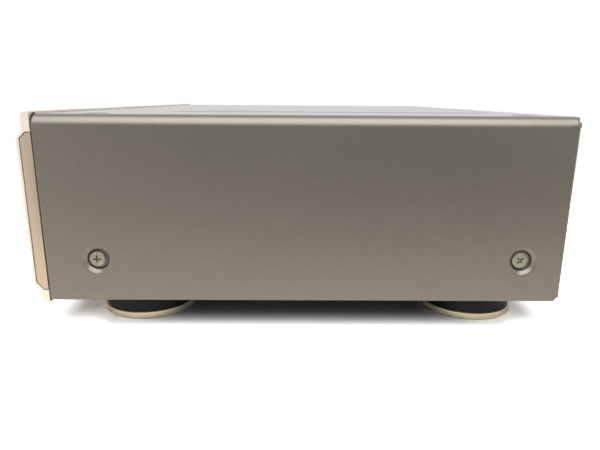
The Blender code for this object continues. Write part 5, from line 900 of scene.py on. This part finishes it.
key_champagne = finish("button_anodised", (0.80, 0.70, 0.55), 0.32, 0.45, 700, 0.000005,
                       stretch=(0.08, 1, 1), smudge=(60, 0.4), spread=0.14)
for name in KEYS:
    low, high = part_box(name)
    middle, half = (low + high) / 2, (high - low) / 2
    cap = half.x - KEY_FLANGE, half.z - KEY_FLANGE
    flange_y = PANEL_BACK_Y + CAP_GAP
    bm = stepped(middle, [
        (low.y, *cap), (flange_y, *cap), (flange_y, half.x, half.z),
        (flange_y + KEY_FLANGE_SHEET, half.x, half.z),
        (flange_y + KEY_FLANGE_SHEET, KEY_STEM, KEY_STEM), (high.y, KEY_STEM, KEY_STEM)])
    soften(bm, edges_at(bm, low.y), KEY_EDGE)
    top = face_at(bm, Vector((middle.x, low.y, middle.z)))
    bmesh.ops.inset_individual(bm, faces=[top], thickness=KEY_BORDER)
    bmesh.ops.inset_individual(bm, faces=[top], thickness=KEY_SLOPE, depth=-KEY_DISH)
    piece = make_piece(f"{name}_cap", bm, key_champagne, sharp=40)
    even_shading(piece)
    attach(piece, name)
    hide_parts(name)

# Knobs
# The jog dial with its finger dish, and two level knobs with pointer grooves, turned from bar.
JOG_RADIUS, JOG_DISH, JOG_DISH_IN = 23, 6.5, 11 * MM
JOG_DISH_FRAME, JOG_BORE_SHARE = (JOG_DISH + 1.4) * MM, 0.62
DISH_PROFILE = ((JOG_DISH + 0.35, 0), (JOG_DISH, 0.12), (JOG_DISH - 0.6, 0.5),
                (JOG_DISH - 1.8, 0.95), (JOG_DISH - 3.4, 1.15), (JOG_DISH - 5, 1.2))
POINTER_START, POINTER_END = 0.5, 0.93
POINTER_HALF, POINTER_DEPTH, POINTER_EDGE = 0.5 * MM, 0.55 * MM, 0.08 * MM
SHAFT_HALF = 3
KNOB_CHAMPAGNE = (0.82, 0.72, 0.56)


def lathe_group():
    """Fine rings left by the lathe round the Y axis."""
    tree, start = new_group("lathe_rings", ("Scale", "Spread"), ("Shade", "Height"))
    away = vectors(tree, 'LENGTH', vectors(tree, 'MULTIPLY', start["Vector"], (1, 0, 1)))
    rings = new_node(tree, 'ShaderNodeTexNoise', {
        "W": away, "Scale": start["Scale"], "Detail": 1}, noise_dimensions='1D')
    return end_in_shade(tree, start, rings.outputs["Fac"])


LATHE_RINGS = lathe_group()


def spun_finish(name, middle):
    """Anodised metal turned about a knob's axis."""
    material = finish(name, KNOB_CHAMPAGNE, 0.30, 0.6, 900, 0.000002, smudge=(14, 0.12), spread=0.1)
    tree = material.node_tree
    about = new_node(tree, 'ShaderNodeMapping', {"Vector": own_place(tree), "Location": -middle})
    rings = new_node(tree, 'ShaderNodeGroup', {
        "Vector": about.outputs["Vector"], "Scale": 1400, "Spread": 0.18}, node_tree=LATHE_RINGS)
    relief = new_node(tree, 'ShaderNodeBump', {
        "Height": rings.outputs["Height"], "Distance": 0.000003})
    feed(shader_of(material), {
        "Base Color": tinted(tree, KNOB_CHAMPAGNE, rings.outputs["Shade"]),
        "Normal": relief.outputs["Normal"]})
    return material


def flat_front(bm):
    """Makes the fan of faces on a knob's front one flat face, and returns its depth."""
    front = min(vert.co.y for vert in bm.verts)
    fan = [face for face in bm.faces if all(abs(vert.co.y - front) < WELD for vert in face.verts)]
    bmesh.ops.dissolve_faces(bm, faces=fan)
    return front


low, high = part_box("jog_dial")
middle = Vector(((low.x + high.x) / 2, high.y, (low.z + high.z) / 2))
deep = (high.y - low.y) / MM
profile = ((0, deep), (JOG_RADIUS - 1.2, deep), (JOG_RADIUS - 0.75, deep - 0.1),
           (JOG_RADIUS - 0.3, deep - 0.4), (JOG_RADIUS - 0.05, deep - 0.85), (JOG_RADIUS, deep - 1.3),
           (JOG_RADIUS, 2.2), (JOG_RADIUS - 0.5, 1.9), (JOG_RADIUS - 0.5, 1.2), (JOG_RADIUS, 0.9),
           (JOG_RADIUS, 0.3), (JOG_RADIUS - 0.3, 0), (SHAFT_HALF + 0.3, 0),
           (SHAFT_HALF + 0.3, deep * JOG_BORE_SHARE), (0, deep * JOG_BORE_SHARE))
bm = face_way(turned(profile), middle, "front")
front = flat_front(bm)
dish = Vector((middle.x, front, middle.z + JOG_DISH_IN))
face = frame_cell(bm, dish, (JOG_DISH_FRAME, 0, JOG_DISH_FRAME))
press_in(bm, round_cell(bm, face, dish, DISH_PROFILE[0][0] * MM), DISH_PROFILE)
piece = make_piece("jog_dial_turned", bm, spun_finish("jog_metal", middle))
even_shading(piece)
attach(piece, "jog_dial")
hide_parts("jog_dial")

for name in ("record_level_knob", "phones_level_knob"):
    low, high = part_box(name)
    middle = Vector(((low.x + high.x) / 2, low.y, (low.z + high.z) / 2))
    radius, deep = (high.x - low.x) / 2 / MM, (high.y - low.y) / MM
    skirt = (PANEL_FACE_Y - low.y) / MM - 0.6
    profile = ((0, 0), (radius - 0.8, 0), (radius - 0.5, -0.07), (radius - 0.2, -0.28),
               (radius - 0.03, -0.6), (radius, -0.9), (radius, 1.5 - skirt), (radius - 0.35, 1.25 - skirt),
               (radius - 0.35, 0.75 - skirt), (radius, 0.5 - skirt), (radius - 0.2, -skirt),
               (SHAFT_HALF, -skirt), (SHAFT_HALF, -deep), (0, -deep))
    bm = face_way(turned(profile), middle, "front")
    front = flat_front(bm)
    reach = radius * (POINTER_END - POINTER_START) / 2 * MM
    mark = Vector((middle.x, front, middle.z + radius * (POINTER_END + POINTER_START) / 2 * MM))
    face = frame_cell(bm, mark, (POINTER_HALF, 0, reach))
    bmesh.ops.inset_individual(bm, faces=[face], thickness=POINTER_EDGE, depth=-POINTER_EDGE)
    pull(bm, face, (0, POINTER_DEPTH, 0))
    piece = make_piece(f"{name}_turned", bm, spun_finish(f"{name}_metal", middle))
    even_shading(piece)
    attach(piece, name)
    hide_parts(name)

# Headphone jack and timer switch
# A moulded jack with a chamfered nut and a metal sleeve, and a ridged lever in its slot.
JACK_BORE, JACK_BARREL, JACK_NUT = 3.2, 4.6, 6.2
JACK_BODY_HALF, JACK_BORE_DEPTH, JACK_BORE_FRAME = 6 * MM, 18 * MM, 4 * MM
TIMER_LEVER = 1.7 * MM, 1.7 * MM
TIMER_EDGE, TIMER_RIDGE_SHARE, TIMER_RIDGE_DEPTH = 0.4 * MM, 0.7, 0.25 * MM
TIMER_RIDGE_PITCH, TIMER_RIDGE_HALF = 0.7 * MM, 0.15 * MM

low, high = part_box("phones_jack")
middle = Vector(((low.x + high.x) / 2, low.y, (low.z + high.z) / 2))
body_y = PANEL_BACK_Y + CAP_GAP
nut, deep = (PANEL_FACE_Y - low.y) / MM - 0.3, (body_y - low.y) / MM
profile = ((JACK_BORE, -0.25), (JACK_BORE + 0.35, 0), (JACK_NUT - 0.7, 0), (JACK_NUT, -0.7),
           (JACK_NUT, -nut), (JACK_BARREL, -nut), (JACK_BARREL, -deep), (JACK_BORE, -deep))
bm = face_way(turned(profile, closed=True), middle, "front")
body = Vector((middle.x, body_y, middle.z))
block = stepped(body, [(y, JACK_BODY_HALF, JACK_BODY_HALF) for y in (body_y, high.y)])
bore = frame_cell(block, body, (JACK_BORE_FRAME, 0, JACK_BORE_FRAME))
bore = round_cell(block, bore, body, JACK_BORE * MM)
pull(block, bore, (0, JACK_BORE_DEPTH, 0))
joined = bpy.data.meshes.new("jack_body")
block.to_mesh(joined)
block.free()
bm.from_mesh(joined)
bpy.data.meshes.remove(joined)
piece = make_piece("phones_jack_moulding", bm, black_moulding)
even_shading(piece)
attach(piece, "cabinet")
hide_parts("phones_jack")

bright_steel = finish("steel_bright", (0.72, 0.72, 0.73), 0.22, 1, 900, 0.000004, smudge=(80, 0.4),
                      spread=0.15)
profile = ((JACK_BORE - 0.05, -0.35), (JACK_BORE - 0.05, -9), (JACK_BORE - 0.4, -9),
           (JACK_BORE - 0.4, -0.6))
bm = face_way(turned(profile, closed=True), middle, "front")
piece = make_piece("phones_jack_sleeve", bm, bright_steel)
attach(piece, "cabinet")

low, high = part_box("timer_switch")
middle, half = (low + high) / 2, (high - low) / 2
bm = stepped(middle, [(low.y, *TIMER_LEVER), (body_y, *TIMER_LEVER), (body_y, half.x, half.z),
                      (high.y, half.x, half.z)])
soften(bm, edges_at(bm, low.y), TIMER_EDGE)
for shift in (-1, 0, 1):
    ridge = Vector((middle.x + shift * TIMER_RIDGE_PITCH, low.y, middle.z))
    groove = frame_cell(bm, ridge, (TIMER_RIDGE_HALF, 0, TIMER_LEVER[1] * TIMER_RIDGE_SHARE))
    pull(bm, groove, (0, TIMER_RIDGE_DEPTH, 0))
piece = make_piece("timer_switch_lever", bm, black_moulding)
even_shading(piece)
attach(piece, "timer_switch")
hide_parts("timer_switch")

# Rear panel
# A painted steel sheet with openings for the terminals, a folded foot, and the screws that hold it
# and the cover's rear folds.
REAR_SHEET, REAR_ROUND = 1 * MM, 4.5 * MM
REAR_FOOT_HALF, REAR_FOOT_LENGTH, REAR_FOOT_UP, REAR_FOOT_THICK = 195 * MM, 8 * MM, 2 * MM, 0.5 * MM
TERMINAL_EDGE, TERMINAL_FLANGE = 2.5 * MM, 1.5 * MM
JACK_COLLAR, COLLAR_GAP, COLLAR_FRAME = 5.6, 0.3, 6.4 * MM
JACK_PITCH = 9 * MM, 8 * MM
PAN_HEAD = ((0, 0.0), (1.6, -0.03), (2.5, -0.35), (2.95, -0.9), (3.0, -1.6), (1.4, -1.6),
            (1.4, -6), (0, -6))
PAN_CROSS, PAN_TALL, CROSS_STEP = (1.7 * MM, 0.4 * MM, 0.9 * MM), 1.6 * MM, 0.7
REAR_SCREWS = ((-195, 8), (-96, 8), (0, 8), (98, 8), (195, 8), (-120, 44), (36, 38), (160, 34))
FOLD_SCREWS = ((-150, 103), (0, 103), (150, 103), (-209, 28), (209, 28), (-209, 78), (209, 78))

low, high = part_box("rear_panel")
middle, half = (low + high) / 2, (high - low) / 2
rear_y = high.y
bm = bmesh.new()
bmesh.ops.create_grid(bm, x_segments=1, y_segments=1, size=1,
                      matrix=Matrix.Rotation(-math.pi / 2, 4, 'X'))
bmesh.ops.scale(bm, vec=(half.x, 1, half.z), verts=bm.verts)
bmesh.ops.translate(bm, vec=(middle.x, rear_y, middle.z), verts=bm.verts)
round_corners(bm, [vert for vert in bm.verts if vert.co.z > middle.z], REAR_ROUND)
openings = []
for node in ("ac_inlet", "optical_block"):
    block_low, block_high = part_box(node)
    at, reach = (block_low + block_high) / 2, (block_high - block_low) / 2
    openings.append(frame_cell(bm, Vector((at.x, rear_y, at.z)), (
        reach.x - TERMINAL_EDGE + CAP_GAP, 0, reach.z - TERMINAL_EDGE + CAP_GAP)))
line_low, line_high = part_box("line_jack_block")
line_middle = (line_low + line_high) / 2
line_places = [
    Vector((line_middle.x + side * JACK_PITCH[0], rear_y, line_middle.z + row * JACK_PITCH[1]))
    for side in (-1, 1) for row in (-1, 1)]
frame_cell(bm, Vector((line_middle.x, rear_y, line_middle.z)),
           (2 * JACK_PITCH[0], 0, 2 * JACK_PITCH[1]))
for place in line_places:
    face = frame_cell(bm, place, (COLLAR_FRAME, 0, COLLAR_FRAME))
    openings.append(round_cell(bm, face, place, (JACK_COLLAR + COLLAR_GAP) * MM))
bmesh.ops.delete(bm, geom=openings, context='FACES_ONLY')
shift_new(bm, bmesh.ops.extrude_face_region(bm, geom=bm.faces[:]), (0, -REAR_SHEET, 0))
bmesh.ops.recalc_face_normals(bm, faces=bm.faces)
foot = frame_cell(bm, Vector((0, rear_y - REAR_SHEET, low.z + REAR_FOOT_UP)),
                  (REAR_FOOT_HALF, 0, REAR_FOOT_THICK))
pull(bm, foot, (0, -REAR_FOOT_LENGTH, 0))
rear_paint = finish("rear_paint", COVER_GREY, 0.5, 0.45, 900, 0.000012, smudge=(9, 0.3), spread=0.3)
piece = make_piece("rear_sheet", bm, rear_paint)
even_shading(piece)
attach(piece, "cabinet")
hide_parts("rear_panel")

black_zinc = finish("screw_black", (0.05, 0.05, 0.055), 0.38, 0.8, 900, 0.00002, smudge=(200, 0.5),
                    spread=0.5)
for names, places, face in (("rear_screw", REAR_SCREWS, rear_y), ("fold_screw", FOLD_SCREWS, REAR_Y)):
    for number, (x, up) in enumerate(places, 1):
        bm = cross_head(PAN_HEAD, PAN_CROSS, CROSS_STEP * number)
        face_way(bm, Vector((x * MM, face + PAN_TALL, SILL_Z + up * MM)), "rear")
        piece = make_piece(f"{names}_{number}", bm, black_zinc, sharp=30)
        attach(piece, "cabinet")

# Mains inlet and optical ports
# Moulded blocks with a flange on the rear panel; the inlet has two plated pins, and each optical
# port a sprung shutter.
INLET_MOUTH, INLET_MOUTH_DEPTH, INLET_MOUTH_ROUND = (7.75 * MM, 4.25 * MM), 13 * MM, 3.2 * MM
INLET_PIN, INLET_PIN_AT, INLET_PIN_LENGTH = 1.2, 4.3 * MM, 10
FLANGE_ROUND, FLANGE_EDGE = 1.5 * MM, 0.3 * MM
PORT_HALF = 4.5 * MM
PORT_LIP, PORT_DEPTH, PORT_RAISE = 0.6 * MM, 13 * MM, 1.4 * MM
SHUTTER_SHEET, SHUTTER_PIN, SHUTTER_EDGE, SHUTTER_ASIDE = 0.9 * MM, 0.7 * MM, 0.2 * MM, 0.3 * MM


def terminal_block(node):
    """A block's body and its flange on the rear panel, and the middle of its rear face."""
    low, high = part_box(node)
    middle, half = (low + high) / 2, (high - low) / 2
    body = half.x - TERMINAL_EDGE, half.z - TERMINAL_EDGE
    bm = stepped(middle, [(high.y, half.x, half.z), (high.y - TERMINAL_FLANGE, half.x, half.z),
                          (high.y - TERMINAL_FLANGE, *body), (low.y, *body)])
    corners = [edge for edge in bm.edges
               if abs(edge.verts[0].co.y - edge.verts[1].co.y) > 0.5 * MM
               and all(abs(vert.co.x - middle.x) > half.x - SLACK for vert in edge.verts)]
    soften(bm, corners, FLANGE_ROUND, 5)
    soften(bm, edges_at(bm, high.y), FLANGE_EDGE)
    return bm, Vector((middle.x, high.y, middle.z))


bm, rear = terminal_block("ac_inlet")
mouth = frame_cell(bm, rear, (INLET_MOUTH[0], 0, INLET_MOUTH[1]))
round_corners(bm, mouth.verts[:], INLET_MOUTH_ROUND)
pull(bm, face_at(bm, rear), (0, -INLET_MOUTH_DEPTH, 0))
piece = make_piece("ac_inlet_moulding", bm, black_moulding)
even_shading(piece)
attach(piece, "cabinet")
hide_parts("ac_inlet")
profile = ((0, INLET_PIN_LENGTH), (INLET_PIN * 0.5, INLET_PIN_LENGTH - 0.1),
           (INLET_PIN * 0.85, INLET_PIN_LENGTH - 0.5), (INLET_PIN, INLET_PIN_LENGTH - 1.1),
           (INLET_PIN, -0.5), (0, -0.5))
for name, side in (("left", -1), ("right", 1)):
    place = rear + Vector((side * INLET_PIN_AT, -INLET_MOUTH_DEPTH, 0))
    bm = face_way(turned(profile, steps=32), place, "rear")
    piece = make_piece(f"inlet_pin_{name}", bm, bright_steel)
    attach(piece, "cabinet")

bm, rear = terminal_block("optical_block")
for node in ("optical_shutter_in", "optical_shutter_out"):
    low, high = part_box(node)
    place = Vector(((low.x + high.x) / 2, rear.y, rear.z))
    mouth = frame_cell(bm, place, (PORT_HALF, 0, PORT_HALF))
    mouth = pull(bm, mouth, (0, -PORT_LIP, 0))
    mouth = pull(bm, mouth, (0, 0, PORT_RAISE / 2), (1, 1, 1 + PORT_RAISE / PORT_HALF / 2))
    pull(bm, mouth, (0, PORT_LIP - PORT_DEPTH, 0))
piece = make_piece("optical_block_moulding", bm, black_moulding)
even_shading(piece)
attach(piece, "cabinet")
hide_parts("optical_block")
for node in ("optical_shutter_in", "optical_shutter_out"):
    low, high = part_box(node)
    hinge = Vector(((low.x + high.x) / 2, (low.y + high.y) / 2, high.z - SHUTTER_PIN))
    half = PORT_HALF - SHUTTER_ASIDE, (hinge.z - low.z) / 2
    bm = hinged_flap(hinge, half, (SHUTTER_SHEET, 1, SHUTTER_EDGE), (SHUTTER_PIN, high.x - low.x, 24))
    piece = make_piece(f"{node}_flap", bm, black_moulding)
    even_shading(piece)
    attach(piece, node)
    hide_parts(node)

# Line jacks
# A moulded block behind the panel with four collars through it, each with a plated sleeve.
LINE_BLOCK_EDGE = 0.5 * MM
COLLAR_PROFILE = ((JACK_COLLAR, -4), (JACK_COLLAR, 1.1), (JACK_COLLAR - 0.4, 1.5), (4.1, 1.5),
                  (4.1, 1.0), (3.4, 1.0), (3.4, 7), (1.7, 7), (1.7, 1), (0, 1), (0, -4))
SLEEVE_PROFILE = ((4.2, 0.5), (4.2, 8.65), (3.95, 9), (3.7, 8.9), (3.5, 8.5), (3.5, 0.5))

half = (line_high - line_low) / 2
block_back = rear_y - REAR_SHEET - CAP_GAP
bm = stepped(line_middle, [(block_back, half.x, half.z), (line_low.y, half.x, half.z)])
soften(bm, edges_at(bm, line_low.y), LINE_BLOCK_EDGE)
piece = make_piece("line_jack_moulding", bm, black_moulding)
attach(piece, "cabinet")
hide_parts("line_jack_block")
sleeve_plate = finish("sleeve_plating", (0.80, 0.66, 0.38), 0.2, 1, 900, 0.000003, smudge=(120, 0.4),
                      spread=0.12)
for number, place in enumerate(line_places, 1):
    bm = face_way(turned(COLLAR_PROFILE), place, "rear")
    piece = make_piece(f"line_collar_{number}", bm, black_moulding)
    even_shading(piece)
    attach(piece, "cabinet")
    bm = face_way(turned(SLEEVE_PROFILE, closed=True), place, "rear")
    piece = make_piece(f"line_sleeve_{number}", bm, sleeve_plate)
    even_shading(piece)
    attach(piece, "cabinet")

# Underside
# A zinc-plated cross-head screw up through each foot's well into the chassis.
FOOT_CROSS, FOOT_CROSS_TURN, FOOT_SCREW_SIZE = (2.2 * MM, 0.5 * MM, 1.0 * MM), 0.4, 1.4
FOOT_SCREW_UP = 4.7 * MM

for end in ("front", "rear"):
    for side in ("left", "right"):
        low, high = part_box(f"foot_{end}_{side}")
        bm = cross_head(PAN_HEAD, FOOT_CROSS, FOOT_CROSS_TURN, size=FOOT_SCREW_SIZE)
        face_way(bm, Vector(((low.x + high.x) / 2, (low.y + high.y) / 2, FOOT_SCREW_UP)), "down")
        piece = make_piece(f"foot_screw_{end}_{side}", bm, screw_zinc, sharp=30)
        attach(piece, "cabinet")

# Inside
# The chassis, boards, transformer and disc mechanism keep their own shapes and take a finish each.


def board_finish(name, ground, track):
    """A circuit board: its lacquer over a maze of tracks and pads."""
    material = finish(name, ground, 0.35, 0, 500, 0.00002, spread=0.2)
    tree = material.node_tree
    maze = new_node(tree, 'ShaderNodeTexVoronoi', {"Vector": own_place(tree), "Scale": 210},
                    distance='CHEBYCHEV', feature='DISTANCE_TO_EDGE')
    edge = new_node(tree, 'ShaderNodeMapRange', {
        "Value": maze.outputs["Distance"], "From Min": 0.05, "From Max": 0.12})
    blend = new_node(tree, 'ShaderNodeMix', {
        "Factor": edge.outputs["Result"], "A": (*track, 1), "B": (*ground, 1)}, data_type='RGBA')
    feed(shader_of(material), {"Base Color": blend.outputs["Result"]})
    return material


inner_finishes = {
    "painted_grey": rear_paint,
    "chassis_steel": finish("steel_plated", (0.50, 0.51, 0.52), 0.38, 0.9, 140, 0.000008,
                            smudge=(12, 0.4), spread=0.35),
    "black_moulding": black_moulding,
    "bright_steel": bright_steel,
    "white_resin": finish("resin_white", (0.74, 0.73, 0.69), 0.4, 0, 1500, 0.00001, spread=0.08),
    "core_iron": finish("iron_laminated", (0.10, 0.10, 0.11), 0.5, 0.6, 60, 0.00006,
                        stretch=(1, 1, 40), spread=0.6),
    "coil_tape": finish("tape_amber", (0.55, 0.36, 0.08), 0.3, 0, 80, 0.00004,
                        stretch=(1, 1, 20), spread=0.4),
    "brown_board": board_finish("board_brown", (0.23, 0.13, 0.055), (0.34, 0.20, 0.09)),
    "green_board": board_finish("board_green", (0.020, 0.13, 0.055), (0.05, 0.24, 0.10)),
}
for part in frame["record"]["subparts"]:
    if part["material_slot"] in inner_finishes:
        frame["nodes"][part["node"]].material_slots[0].material = inner_finishes[part["material_slot"]]

low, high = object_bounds()
